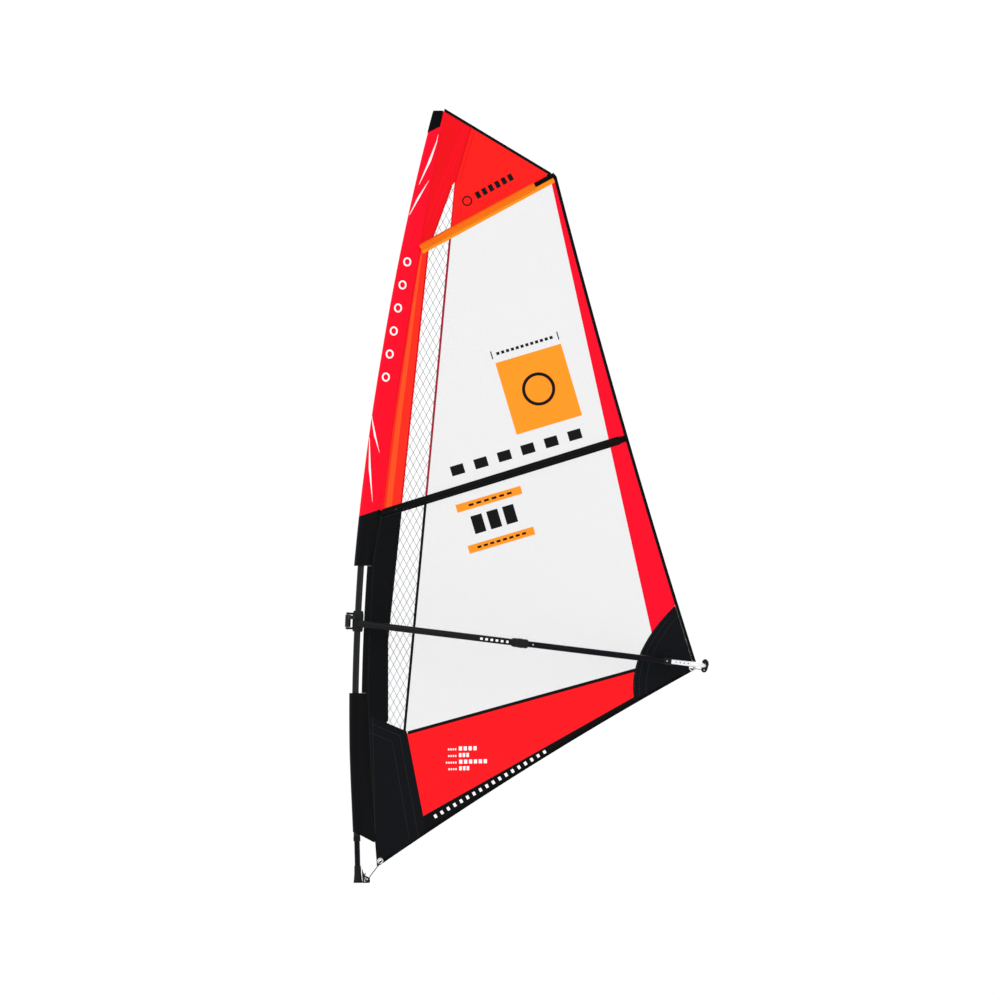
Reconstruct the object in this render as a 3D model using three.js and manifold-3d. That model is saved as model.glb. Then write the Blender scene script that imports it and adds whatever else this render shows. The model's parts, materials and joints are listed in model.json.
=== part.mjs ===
// Windsurf sail rig: mast on its extension and foot, a two-batten sail, and a wishbone boom.
// Millimetres. +X runs aft, +Y to starboard, +Z up. The origin is the centre of the foot's underside.

import * as THREE from "three";
import { mergeVertices } from "three/addons/utils/BufferGeometryUtils.js";
import Module from "manifold-3d";

const wasm = await Module();
wasm.setup();

// ---------------------------------------------------------------- driving dimensions

const GAP = 0.6; // clearance on each side of a joint line between cloth panels
const SEAM_GAP = 1.8; // clearance between the sleeve's aft edge and the seam line

// Mast curve: straight up to BEND_START with a slight forward lean, then a parabola.
const MAST_LEAN = -0.024;
const BEND_START = 500;
const BEND_RATE = 3.83e-5;

const MAST_RADIUS = 18;
const MAST_TIP_RADIUS = 10.5;
const MAST_TAPER_START = 1700;
const MAST_FOOT_Z = 256;
const MAST_JOINT_Z = 2210;
const MAST_TOP_Z = 4190;
const MAST_WALL = 1.9;
const STATION_STEP = 180;

const TUBE_RADIUS = 15.2; // extension tube
const TUBE_BORE = 12.6;
const TUBE_BOTTOM_Z = 14;
const TUBE_TOP_Z = 480;
const COLLAR_BOTTOM_Z = 227;
const COLLAR_RADIUS = 19.5;

const FOOT_RADIUS = 24;
const FOOT_TOP_Z = 94;
const FOOT_FLOOR = 12;
const SHEAVE_X = 50;
const SHEAVE_Z = 20;
const SHEAVE_RADIUS = 11;
const SHEAVE_OFFSET = 4.8; // from the centre plane to each downhaul sheave's middle
const AXLE_RADIUS = 3;

const TACK_RING_X = 121;
const TACK_RING_Z = 120;
const CLEW_RING_X = 1822;
const CLEW_RING_Z = 1170;
const RING_RADIUS = 17.5;
const RING_BORE = 8.5;

const SLEEVE_WALL = 1.4;
const CUTOUT_BOTTOM_Z = 1035;
const CUTOUT_TOP_Z = 1728;
const CUTOUT_EDGE = 34; // from the mast's centre line to the cut-out's aft edge
const PEAK_Z = 4210;

const CAP_FRONT = 17; // head cap, from the mast's centre line
const CAP_AFT = 43;
const CAP_WALL = 3.2;
const CAP_ROOF = 5;

const CLOTH = 1.0; // panel thickness
const PATCH = 2.0; // doubled corner cloth
const TAPE = 18; // width of the edge tapes
const DRAFT = 0.045; // depth of the sail's curve as a share of its chord
const TWIST = 60; // how far the head of the leech falls off to leeward

const BATTEN_RADIUS = 4.2;
const POCKET_HALF_THICKNESS = 6.6;
const POCKET_BORE = 5.6;
const POCKET_STAND_OFF = 9.5; // from the cloth's middle plane to the middle of a pocket

const HEAD_Z = 1426; // boom head
const HEAD_X = -0.35;
const HEAD_TILT = 0.0448;
const HEAD_HALF = 57;
const HEAD_RADIUS = 30;
const HEAD_BORE = 23.2;
const TRUNNION_DROP = 11;
const TRUNNION_RADIUS = 6;
const LEVER_X = -54.5;

const BOOM_TILT = 0.1214; // fall of the boom towards its tail, in radians
const GRIP_RADIUS = 18;
const ARM_RADIUS = 17;
const ARM_BORE = 14.4;
const ARM_SPLIT = 889; // where the front and rear arms meet inside the coupler
const ARM_END = 1722;
const TAIL_HALF_WIDTH = 85;
const TAIL_RADIUS = 13;
const TAIL_BORE = 10.8;
const TAIL_INNER_END = 1400;
const TAIL_BEND_X = 1820;

const CRIMSON = 0xfa0526;
const DARK_RED = 0xd01020;
const ORANGE_RED = 0xff2819;
const ORANGE = 0xfb8e1a;
const BLACK = 0x101113;
const SOFT_BLACK = 0x17191c;
const FILM = 0xf2f2f2;
const WHITE = 0xf4f4f4;
const SILVER = 0xd8dadd;
const STEEL = 0xb9bcc0;

// ---------------------------------------------------------------- geometry helpers

const rig = new THREE.Group();

function addPiece(parent, name, geometry, color, roughness, metalness = 0) {
  const material = new THREE.MeshStandardMaterial({ color, roughness, metalness });
  const mesh = new THREE.Mesh(geometry, material);
  mesh.name = name;
  parent.add(mesh);
  return mesh;
}

function toSolid(geometry) {
  const bare = geometry.clone();
  bare.deleteAttribute("normal");
  bare.deleteAttribute("uv");
  const merged = mergeVertices(bare, 1e-3);
  return new wasm.Manifold(
    new wasm.Mesh({
      numProp: 3,
      vertProperties: merged.attributes.position.array,
      triVerts: new Uint32Array(merged.index.array),
    }),
  );
}

function toGeometry(solid) {
  const made = solid.getMesh();
  const geometry = new THREE.BufferGeometry();
  geometry.setAttribute("position", new THREE.BufferAttribute(made.vertProperties, 3));
  geometry.setIndex(new THREE.BufferAttribute(made.triVerts, 1));
  geometry.computeVertexNormals();
  return geometry;
}

function join(...geometries) {
  return toGeometry(geometries.map(toSolid).reduce((sum, next) => sum.add(next)));
}

function cut(geometry, ...tools) {
  const whole = toSolid(geometry);
  return toGeometry(tools.map(toSolid).reduce((rest, tool) => rest.subtract(tool), whole));
}

// Turns a closed [radius, height] outline about +Z. The outline rises on its outer side.
function turned(outline, segments = 18) {
  const points = outline.map(([r, h]) => new THREE.Vector2(r, h));
  return new THREE.LatheGeometry(points, segments).rotateX(Math.PI / 2);
}

// A ring-shaped outline, closed on itself.
function tubeOutline(outer, inner, bottom, top) {
  return [
    [outer, bottom],
    [outer, top],
    [inner, top],
    [inner, bottom],
    [outer, bottom],
  ];
}

// A rod along +Z between two heights.
function rod(radius, bottom, top, segments = 14) {
  return new THREE.CylinderGeometry(radius, radius, top - bottom, segments)
    .rotateX(Math.PI / 2)
    .translate(0, 0, (bottom + top) / 2);
}

// A rod along +Y between two stations.
function crossRod(radius, from, to, segments = 14) {
  return new THREE.CylinderGeometry(radius, radius, to - from, segments).translate(0, (from + to) / 2, 0);
}

function block(x0, x1, y0, y1, z0, z1) {
  return new THREE.BoxGeometry(x1 - x0, y1 - y0, z1 - z0).translate(
    (x0 + x1) / 2,
    (y0 + y1) / 2,
    (z0 + z1) / 2,
  );
}

// An outline in the XZ plane given a thickness centred on y = 0.
function plate(shape, thickness, curveSegments = 6) {
  return new THREE.ExtrudeGeometry(shape, { depth: thickness, bevelEnabled: false, curveSegments })
    .translate(0, 0, -thickness / 2)
    .rotateX(Math.PI / 2);
}

function disc(radius, bore = 0) {
  const shape = new THREE.Shape().absarc(0, 0, radius, 0, 2 * Math.PI);
  if (bore > 0) shape.holes.push(new THREE.Path().absarc(0, 0, bore, 0, 2 * Math.PI, true));
  return shape;
}

function alongPath(points, shape, steps, curveSegments) {
  const extrudePath = new THREE.CatmullRomCurve3(points, false, "centripetal");
  return new THREE.ExtrudeGeometry(shape, { extrudePath, steps, curveSegments, bevelEnabled: false });
}

// Moves every vertex by a function of its position.
function remap(geometry, place) {
  const position = geometry.attributes.position;
  const from = new THREE.Vector3();
  for (let i = 0; i < position.count; i += 1) {
    from.fromBufferAttribute(position, i);
    const to = place(from);
    position.setXYZ(i, to.x, to.y, to.z);
  }
  geometry.computeVertexNormals();
  return geometry;
}

function lerp(a, b, t) {
  return a + (b - a) * t;
}

function smooth(t) {
  const s = Math.min(1, Math.max(0, t));
  return s * s * (3 - 2 * s);
}

// A straight line through two [input, output] points.
function line([a0, b0], [a1, b1]) {
  return (a) => b0 + ((a - a0) * (b1 - b0)) / (a1 - a0);
}

// Straight runs between [input, output] points, carried on past both ends.
function runs(...points) {
  return (a) => {
    let i = 1;
    while (i < points.length - 1 && a > points[i][0]) i += 1;
    return line(points[i - 1], points[i])(a);
  };
}

function shifted(edge, offset) {
  return (a) => edge(a) + offset;
}

// ---------------------------------------------------------------- the mast curve and the sail surface

function mastX(z) {
  const above = Math.max(0, z - BEND_START);
  return MAST_LEAN * z + BEND_RATE * above * above;
}

function mastRadius(z) {
  const t = Math.max(0, (z - MAST_TAPER_START) / (MAST_TOP_Z - MAST_TAPER_START));
  return lerp(MAST_RADIUS, MAST_TIP_RADIUS, t);
}

// Distance from the mast's centre line to the sleeve's front and to its aft seam.
const sleeveFront = runs(
  [272, 21.5],
  [725, 31],
  [1035, 34],
  [1733, 38],
  [2300, 28],
  [2960, 19],
  [4204, 14.5],
);
const sleeveAft = runs(
  [234, 98],
  [910, 70],
  [1030, 63],
  [1760, 62],
  [2010, 85],
  [2941, 90],
  [3500, 78],
  [4190, 45],
);

const seamX = (z) => mastX(z) + sleeveAft(z);

// Edges given as x at a height.
const luffPanelAft = runs([877, 158], [1324, 158], [3450, 381.5], [3804, 512], [3815, 528], [4131, 621]);
const scrimAft = line([828.4, 253.4], [3815, 529.7]);
const headSeam = line([3815, 529.7], [4131, 621]);
const leechPanelFore = line([1352, 1591], [3777, 1046]);
const tackPatchAft = line([261.6, 376], [817.5, 267]);
const tackFrontEdge = line([94, 103], [220, 93.3]);

const CLEW_X = 1853;
const CLEW_Z = 1172;
const HEAD_CORNER_X = 1082;
const HEAD_CORNER_Z = 3853;
const LEECH_HOLLOW = 20;
function leechEdge(z) {
  const t = (z - CLEW_Z) / (HEAD_CORNER_Z - CLEW_Z);
  return lerp(CLEW_X, HEAD_CORNER_X, t) - 4 * LEECH_HOLLOW * t * (1 - t);
}

// The clew patch's forward edge is a shallow bow.
const CLEW_ARC_X = 1499;
const CLEW_ARC_Z = 1069;
const CLEW_ARC_RATE = 1.17e-3;
const clewArc = (z) => CLEW_ARC_X + CLEW_ARC_RATE * (z - CLEW_ARC_Z) ** 2;
const clewArcTop = (x) => CLEW_ARC_Z + Math.sqrt(Math.max(0, x - CLEW_ARC_X) / CLEW_ARC_RATE);

// Edges given as z at a station along X.
const headEdge = line([485, 4213], [HEAD_CORNER_X, HEAD_CORNER_Z]);
const topBatten = line([340, 3462], [1068, 3857]);
const midBatten = line([117, 2009], [1466, 2425]);
const footSeam = line([272, 818], [1518.9, 1163]);
const footBandTop = line([355.3, 364], [1500.4, 1010.4]);
const tackPatchTop = line([57.8, 914.5], [261.6, 828.4]);

const TACK_X = 104;
const TACK_Z = 87;
const FOOT_HOLLOW = 31;
function footEdge(x) {
  const t = (x - TACK_X) / (CLEW_X - TACK_X);
  return lerp(TACK_Z, CLEW_Z, t) + 4 * FOOT_HOLLOW * t * (1 - t);
}

// How far the sail's middle plane stands to starboard.
const FLAT_BEHIND_MAST = 25;
const CAMBER_FADE = [90, 900];
function camber(x, z) {
  const start = mastX(z) + FLAT_BEHIND_MAST;
  const chord = leechEdge(CLEW_Z) - 0.2875 * (z - CLEW_Z) - start;
  const u = Math.min(1.05, Math.max(0, (x - start) / chord));
  const depth = DRAFT * chord * 6.75 * u * (1 - u) ** 2;
  const height = Math.max(0, (z - CLEW_Z) / (HEAD_CORNER_Z - CLEW_Z));
  const fade = smooth((z - CAMBER_FADE[0]) / (CAMBER_FADE[1] - CAMBER_FADE[0]));
  return depth * fade + TWIST * height * height * u * u;
}

// ---------------------------------------------------------------- sail panels

// Where an edge x(z) meets an edge z(x).
function corner(xOfZ, zOfX, z = 2000) {
  let at = z;
  for (let i = 0; i < 60; i += 1) at = lerp(at, zOfX(xOfZ(at)), 0.7);
  return { x: xOfZ(at), z: at };
}

// A closed unit sheet in the XZ plane. Both faces are split along the same diagonals, so that a
// curved sheet keeps its thickness.
function unitSheet(columns, rows) {
  const face = new THREE.PlaneGeometry(1, 1, columns, rows);
  const { position } = face.attributes;
  const points = [-0.5, 0.5].flatMap((y) =>
    Array.from({ length: position.count }, (_, i) => [position.getX(i), y, position.getY(i)]),
  );
  const index = [...face.index.array];
  for (let i = 0; i < face.index.count; i += 3) {
    const [a, b, c] = index.slice(i, i + 3);
    index.push(a + position.count, c + position.count, b + position.count);
  }
  const across = columns + 1;
  const rim = [];
  for (let i = 0; i < columns; i += 1) rim.push(i);
  for (let j = 0; j < rows; j += 1) rim.push(columns + j * across);
  for (let i = columns; i > 0; i -= 1) rim.push(rows * across + i);
  for (let j = rows; j > 0; j -= 1) rim.push(j * across);
  rim.forEach((a, k) => {
    const b = rim[(k + 1) % rim.length];
    index.push(a, b, b + position.count, a, b + position.count, a + position.count);
  });
  const sheet = new THREE.BufferGeometry();
  sheet.setAttribute("position", new THREE.Float32BufferAttribute(points.flat(), 3));
  return sheet.setIndex(index);
}

// A thin panel between a left and a right edge x(z) and a bottom and a top edge z(x).
function panel({ left, right, bottom, top, columns, rows, thickness = CLOTH, inset = GAP, startZ }) {
  const l = shifted(left, inset);
  const r = shifted(right, -inset);
  const b = shifted(bottom, inset);
  const t = shifted(top, -inset);
  const lb = corner(l, b, startZ);
  const rb = corner(r, b, startZ);
  const lt = corner(l, t, startZ);
  const rt = corner(r, t, startZ);
  return remap(unitSheet(columns, rows), (p) => {
    const u = p.x + 0.5;
    const v = p.z + 0.5;
    const zl = lerp(lb.z, lt.z, v);
    const zr = lerp(rb.z, rt.z, v);
    const xb = lerp(lb.x, rb.x, u);
    const xt = lerp(lt.x, rt.x, u);
    const cornersX = lerp(lerp(lb.x, rb.x, u), lerp(lt.x, rt.x, u), v);
    const cornersZ = lerp(lerp(lb.z, rb.z, u), lerp(lt.z, rt.z, u), v);
    const x = lerp(l(zl), r(zr), u) + lerp(xb, xt, v) - cornersX;
    const z = lerp(zl, zr, u) + lerp(b(xb), t(xt), v) - cornersZ;
    return { x, y: camber(x, z) + p.y * thickness, z };
  });
}

// A tube whose ring sections are placed by a function of angle, wall (1 outer, 0 inner) and run (0 to 1).
function ringLoft(segments, stations, place) {
  const outline = [];
  for (let i = 0; i <= stations; i += 1) outline.push([2, i / stations]);
  for (let i = stations; i >= 0; i -= 1) outline.push([1, i / stations]);
  outline.push([2, 0]);
  return remap(turned(outline, segments), (p) => {
    const wall = Math.hypot(p.x, p.y) > 1.5 ? 1 : 0;
    return place(Math.atan2(p.y, p.x), wall, p.z);
  });
}

// A teardrop sleeve round the mast between two sloping ends z(x).
function sleeve(bottom, top, stations) {
  return ringLoft(14, stations, (angle, wall, run) => {
    const nominal = lerp(bottom(mastX(bottom(0))), top(mastX(top(0))), run);
    const inner = wall ? 0 : SLEEVE_WALL;
    const half = sleeveFront(nominal) - inner;
    const aft = sleeveAft(nominal) - inner * 4 - SEAM_GAP;
    const c = Math.cos(angle);
    const s = Math.sin(angle);
    const dx = c < 0 ? half * c : aft * c;
    const dy = c < 0 ? half * s : half * Math.sign(s) * s * s;
    const guess = mastX(nominal) + dx;
    const z = lerp(bottom(guess), top(guess), run);
    const x = mastX(z) + dx;
    return { x, y: dy + camber(x, z), z };
  });
}

const sleeveBreak = line([0, 1996], [220, 2070]);
const sleeveHem = runs([-30, 279], [-10, 272], [87, 222]);

const capHem = line([384, 4090], [447, 4125]);
const upperSleeve = sleeve(shifted(sleeveBreak, GAP), shifted(capHem, -2), 10);
addPiece(rig, "luff_sleeve_upper", upperSleeve, CRIMSON, 0.75);

const middleSleeve = sleeve(() => CUTOUT_TOP_Z, shifted(sleeveBreak, -GAP), 3);
addPiece(rig, "luff_sleeve_middle", middleSleeve, BLACK, 0.8);

const lowerSleeve = sleeve(sleeveHem, () => CUTOUT_BOTTOM_Z, 5);
addPiece(rig, "luff_sleeve_lower", lowerSleeve, BLACK, 0.8);

const stripPanel = panel({
  left: (z) => mastX(z) + CUTOUT_EDGE,
  right: seamX,
  bottom: () => CUTOUT_BOTTOM_Z,
  top: () => CUTOUT_TOP_Z,
  columns: 1,
  rows: 4,
  thickness: PATCH,
});
addPiece(rig, "cutout_strip", stripPanel, BLACK, 0.8);

function sailPanel(name, edges, color, roughness, opacity = 1) {
  const mesh = addPiece(rig, name, panel(edges), color, roughness);
  mesh.material.transparent = opacity < 1;
  mesh.material.opacity = opacity;
  return mesh;
}

const clothTop = shifted(headEdge, -TAPE);
const clothLeech = shifted(leechEdge, -TAPE);
const windowFoot = (x) => Math.max(footSeam(x), x < tackPatchAft(817) ? tackPatchTop(x) : 0);
const windowRight = (z) => Math.min(clewArc(Math.max(z, CLEW_ARC_Z)), leechPanelFore(z));

sailPanel(
  "luff_panel_upper",
  { left: seamX, right: luffPanelAft, bottom: midBatten, top: clothTop, columns: 1, rows: 12 },
  ORANGE_RED,
  0.7,
);
sailPanel(
  "luff_panel_lower",
  { left: seamX, right: luffPanelAft, bottom: tackPatchTop, top: midBatten, columns: 1, rows: 7 },
  BLACK,
  0.75,
);
sailPanel(
  "scrim",
  { left: luffPanelAft, right: scrimAft, bottom: tackPatchTop, top: () => 3790, columns: 1, rows: 16 },
  WHITE,
  0.4,
);
sailPanel(
  "head_panel",
  {
    left: (z) => (z < 3815 ? scrimAft(z) : headSeam(z)),
    right: () => 1030,
    bottom: topBatten,
    top: clothTop,
    columns: 5,
    rows: 4,
    startZ: 3700,
  },
  DARK_RED,
  0.7,
);
sailPanel(
  "window_upper",
  { left: scrimAft, right: leechPanelFore, bottom: midBatten, top: topBatten, columns: 6, rows: 8 },
  FILM,
  0.15,
  0.5,
);
sailPanel(
  "window_lower",
  { left: scrimAft, right: windowRight, bottom: windowFoot, top: midBatten, columns: 6, rows: 7 },
  FILM,
  0.15,
  0.5,
);
sailPanel(
  "leech_panel",
  { left: leechPanelFore, right: clothLeech, bottom: clewArcTop, top: topBatten, columns: 1, rows: 14 },
  CRIMSON,
  0.7,
);
sailPanel(
  "foot_panel",
  {
    left: tackPatchAft,
    right: clewArc,
    bottom: footBandTop,
    top: footSeam,
    columns: 8,
    rows: 3,
    startZ: 900,
  },
  CRIMSON,
  0.7,
);
sailPanel(
  "foot_band",
  {
    left: tackPatchAft,
    right: clewArc,
    bottom: footEdge,
    top: footBandTop,
    columns: 8,
    rows: 1,
    startZ: 700,
  },
  BLACK,
  0.8,
);

// A hole for an eyelet through the cloth.
const eyeletHole = (x, z) => crossRod(RING_BORE + 4.4, -20, 20).translate(x, 0, z);

const tackPatch = panel({
  left: (z) => (z > 220 ? seamX(z) : tackFrontEdge(z)),
  right: tackPatchAft,
  bottom: footEdge,
  top: tackPatchTop,
  columns: 4,
  rows: 12,
  thickness: PATCH,
  startZ: 300,
});
addPiece(rig, "tack_patch", cut(tackPatch, eyeletHole(TACK_RING_X, TACK_RING_Z)), SOFT_BLACK, 0.8);

const BOW_INSET = 11; // keeps the patch clear of the panels' straight facets
// The clew patch runs between its bow and the leech and foot, which meet at the clew.
function clewPatch() {
  const bow = (t) => {
    const z = lerp(982, 1508, t);
    return { x: clewArc(z) + BOW_INSET, z };
  };
  const lowEnd = bow(0);
  const topEnd = bow(1);
  const edge = (t) => {
    if (t < 0.5) {
      const x = lerp(lowEnd.x, CLEW_X - GAP, t * 2);
      return { x, z: footEdge(x) };
    }
    const z = lerp(CLEW_Z, topEnd.z, t * 2 - 1);
    return { x: clothLeech(z) - GAP, z };
  };
  return remap(unitSheet(4, 10), (p) => {
    const u = p.x + 0.5;
    const v = p.z + 0.5;
    const fore = bow(v);
    const aft = edge(v);
    const x = lerp(fore.x, aft.x, u);
    const z = lerp(fore.z, aft.z, u);
    return { x, y: camber(x, z) + p.y * PATCH, z };
  });
}
addPiece(rig, "clew_patch", cut(clewPatch(), eyeletHole(CLEW_RING_X, CLEW_RING_Z)), SOFT_BLACK, 0.8);

sailPanel(
  "head_tape",
  { left: seamX, right: () => 1050, bottom: clothTop, top: headEdge, columns: 5, rows: 1, startZ: 4000 },
  BLACK,
  0.8,
);
sailPanel(
  "leech_tape",
  {
    left: clothLeech,
    right: leechEdge,
    bottom: () => CLEW_Z + 4,
    top: headEdge,
    columns: 1,
    rows: 14,
    thickness: PATCH,
  },
  BLACK,
  0.8,
);

// ---------------------------------------------------------------- battens and their pockets

// A sleeve sewn to the port face, from behind the luff seam to the leech.
function pocket(middle, halfWidth) {
  return battenRun(middle, 9, (angle, wall) => {
    const c = Math.cos(angle);
    const s = Math.sin(angle);
    if (!wall) return [POCKET_BORE * c, POCKET_BORE * s];
    return [halfWidth * c, POCKET_HALF_THICKNESS * Math.sign(s) * s * s];
  });
}

function battenRun(middle, stations, section) {
  const start = corner(shifted(seamX, 8), middle);
  const end = corner(leechEdge, middle);
  const slope = Math.atan2(end.z - start.z, end.x - start.x);
  return ringLoft(10, stations, (angle, wall, run) => {
    const [across, out] = section(angle, wall);
    const x = lerp(start.x, end.x, run) - across * Math.sin(slope);
    const z = lerp(start.z, end.z, run) + across * Math.cos(slope);
    return { x, y: camber(x, z) - POCKET_STAND_OFF - out, z };
  });
}

function batten(name, middle) {
  const start = corner(shifted(seamX, 14), middle);
  const end = corner(shifted(leechEdge, -50), middle);
  const stop = corner(shifted(leechEdge, -6), middle);
  const at = (a, b, t) => {
    const x = lerp(a.x, b.x, t);
    const z = lerp(a.z, b.z, t);
    return new THREE.Vector3(x, camber(x, z) - POCKET_STAND_OFF, z);
  };
  const bar = [0, 0.1, 0.2, 0.3, 0.4, 0.5, 0.6, 0.7, 0.8, 0.9, 1].map((t) => at(start, end, t));
  addPiece(rig, name, alongPath(bar, disc(BATTEN_RADIUS), 10, 3), WHITE, 0.4);
  const cap = [0.02, 0.5, 1].map((t) => at(end, stop, t));
  addPiece(rig, name + "_cap", alongPath(cap, disc(BATTEN_RADIUS), 2, 3), BLACK, 0.5);
}

addPiece(rig, "top_batten_pocket", pocket(topBatten, 22), ORANGE, 0.6);
addPiece(rig, "middle_batten_pocket", pocket(midBatten, 25), BLACK, 0.75);
batten("top_batten", topBatten);
batten("middle_batten", midBatten);

// ---------------------------------------------------------------- eyelets

const EYELET_CLEARANCE = 1.2; // from the cloth to the ring's flange
function eyelet() {
  const face = PATCH / 2 + EYELET_CLEARANCE;
  const rim = face + 2.2;
  return turned([
    [RING_BORE + 4, -face],
    [RING_BORE + 4, face],
    [RING_RADIUS, face],
    [RING_RADIUS - 1.5, rim],
    [RING_BORE + 1.5, rim],
    [RING_BORE, face],
    [RING_BORE, -face],
    [RING_BORE + 1.5, -rim],
    [RING_RADIUS - 1.5, -rim],
    [RING_RADIUS, -face],
    [RING_BORE + 4, -face],
  ]).rotateX(Math.PI / 2);
}

function placedEyelet(name, x, z) {
  const ring = addPiece(rig, name, eyelet(), STEEL, 0.25, 1);
  ring.position.set(x, camber(x, z), z);
}
placedEyelet("tack_ring", TACK_RING_X, TACK_RING_Z);
placedEyelet("clew_ring", CLEW_RING_X, CLEW_RING_Z);

// ---------------------------------------------------------------- mast

function heights(bottom, top) {
  const count = Math.max(1, Math.round((top - bottom) / STATION_STEP));
  return Array.from({ length: count + 1 }, (_, i) => lerp(bottom, top, i / count));
}

function onMast(geometry) {
  return remap(geometry, (p) => ({ x: p.x + mastX(p.z), y: p.y, z: p.z }));
}

function mastTube(bottom, top, radius, wall) {
  const up = heights(bottom, top).map((z) => [radius(z), z]);
  const down = heights(bottom, top).map((z) => [radius(z) - wall, z]);
  return onMast(turned([...up, ...down.reverse(), up[0]], 14));
}

addPiece(rig, "mast_lower", mastTube(MAST_FOOT_Z, MAST_JOINT_Z, mastRadius, MAST_WALL), BLACK, 0.35);
addPiece(rig, "mast_upper", mastTube(MAST_JOINT_Z + GAP, MAST_TOP_Z, mastRadius, MAST_WALL), BLACK, 0.35);

const FERRULE_REACH = 110;
const ferruleRadius = () => mastRadius(MAST_JOINT_Z + FERRULE_REACH) - MAST_WALL - 0.5;
const ferrule = mastTube(MAST_JOINT_Z - FERRULE_REACH, MAST_JOINT_Z + FERRULE_REACH, ferruleRadius, 2.2);
addPiece(rig, "mast_ferrule", ferrule, SOFT_BLACK, 0.4);

// ---------------------------------------------------------------- head cap

// A point of the cap's rounded section, shrunk inwards by an inset.
function capSection(angle, inset) {
  const c = Math.cos(angle);
  const s = Math.sin(angle);
  const front = CAP_FRONT - inset;
  const aft = CAP_AFT - inset * 1.6;
  return c < 0 ? [front * c, front * s] : [aft * c, front * Math.sign(s) * Math.abs(s) ** 1.5];
}

const CAP_HEM_Z = 4105; // middle of the hem
function headCap() {
  return ringLoft(14, 2, (angle, wall, run) => {
    const [dx, dy] = capSection(angle, wall ? 0 : CAP_WALL);
    const z = lerp(capHem(mastX(CAP_HEM_Z) + dx), PEAK_Z - CAP_ROOF, run);
    return { x: mastX(z) + dx, y: dy, z };
  });
}

// The cap's roof closes the ring from edge to edge.
function capRoof() {
  return remap(new THREE.CylinderGeometry(1, 1, 1, 14).rotateX(Math.PI / 2), (p) => {
    const reach = Math.min(1, Math.hypot(p.x, p.y));
    const [dx, dy] = capSection(Math.atan2(p.y, p.x), 0.2).map((d) => d * reach);
    const z = p.z > 0 ? PEAK_Z : PEAK_Z - CAP_ROOF - 0.5;
    return { x: mastX(z) + dx, y: dy, z };
  });
}
addPiece(rig, "head_cap", join(headCap(), capRoof()), BLACK, 0.6);

// ---------------------------------------------------------------- extension, collar and foot

const BUTTON_RADIUS = 4;
const COLLAR_BUTTON_Z = 241;

const tube = onMast(turned(tubeOutline(TUBE_RADIUS, TUBE_BORE, TUBE_BOTTOM_Z, TUBE_TOP_Z)));
addPiece(rig, "extension_tube", tube, BLACK, 0.4, 0.3);

const collarBody = turned([
  [COLLAR_RADIUS - 1, COLLAR_BOTTOM_Z],
  [COLLAR_RADIUS, COLLAR_BOTTOM_Z + 1.5],
  [COLLAR_RADIUS, MAST_FOOT_Z - GAP],
  [TUBE_RADIUS + 0.4, MAST_FOOT_Z - GAP],
  [TUBE_RADIUS + 0.4, COLLAR_BOTTOM_Z],
  [COLLAR_RADIUS - 1, COLLAR_BOTTOM_Z],
]);
const buttonHole = rod(BUTTON_RADIUS + 0.4, -30, 0)
  .rotateY(Math.PI / 2)
  .translate(0, 0, COLLAR_BUTTON_Z);
addPiece(rig, "extension_collar", cut(onMast(collarBody), buttonHole), SOFT_BLACK, 0.5);

// A round push button that faces forward; its stem sits in the wall behind it.
function pushButton(name, x, z, length) {
  const body = rod(BUTTON_RADIUS, 0, length).rotateY(Math.PI / 2);
  addPiece(rig, name, body, SILVER, 0.3, 0.8).position.set(x, 0, z);
}
pushButton("collar_button", mastX(COLLAR_BUTTON_Z) - 22.3, COLLAR_BUTTON_Z, 4.2);

const footBody = turned([
  [0, 0],
  [FOOT_RADIUS - 1, 0],
  [FOOT_RADIUS, 2],
  [FOOT_RADIUS - 0.5, 12],
  [20.5, 34],
  [18.6, 64],
  [18.2, FOOT_TOP_Z - 6],
  [17.2, FOOT_TOP_Z],
  [TUBE_RADIUS + 0.4, FOOT_TOP_Z],
  [TUBE_RADIUS + 0.4, FOOT_FLOOR],
  [0, FOOT_FLOOR],
]);
const FOOT_BUTTON_Z = 34;
const footButtonHole = rod(BUTTON_RADIUS + 0.4, -30, 0)
  .rotateY(Math.PI / 2)
  .translate(0, 0, FOOT_BUTTON_Z);
const footLean = (geometry) =>
  remap(geometry, (p) => ({ x: p.x + (p.z > 1 ? mastX(p.z) : 0), y: p.y, z: p.z }));
addPiece(rig, "foot_cup", cut(footLean(footBody), footButtonHole), BLACK, 0.5);
pushButton("foot_button", mastX(FOOT_BUTTON_Z) - 23.4, FOOT_BUTTON_Z, 5.4);

// The pulley block: a gusset behind the cup with a slot for the two sheaves.
const BLOCK_WIDTH = 30;
const SLOT_WIDTH = 19.6;
function pulleyBlock() {
  const side = new THREE.Shape();
  side.moveTo(24.6, 0);
  side.lineTo(60, 0);
  side.quadraticCurveTo(66, 2, 66, 14);
  side.quadraticCurveTo(64, 33, 50, 35);
  side.quadraticCurveTo(30, 42, 23.6, 78);
  side.lineTo(21.6, 78);
  side.lineTo(22.4, 36);
  side.lineTo(24.6, 14);
  const slot = block(SHEAVE_X - 17, 80, -SLOT_WIDTH / 2, SLOT_WIDTH / 2, 4, 60);
  const bore = crossRod(AXLE_RADIUS + 0.3, -20, 20).translate(SHEAVE_X, 0, SHEAVE_Z);
  return cut(plate(side, BLOCK_WIDTH), slot, bore);
}
addPiece(rig, "pulley_block", pulleyBlock(), BLACK, 0.5);
const sheaveAxle = addPiece(rig, "sheave_axle", crossRod(AXLE_RADIUS, -17, 17), STEEL, 0.3, 1);
sheaveAxle.position.set(SHEAVE_X, 0, SHEAVE_Z);

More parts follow.
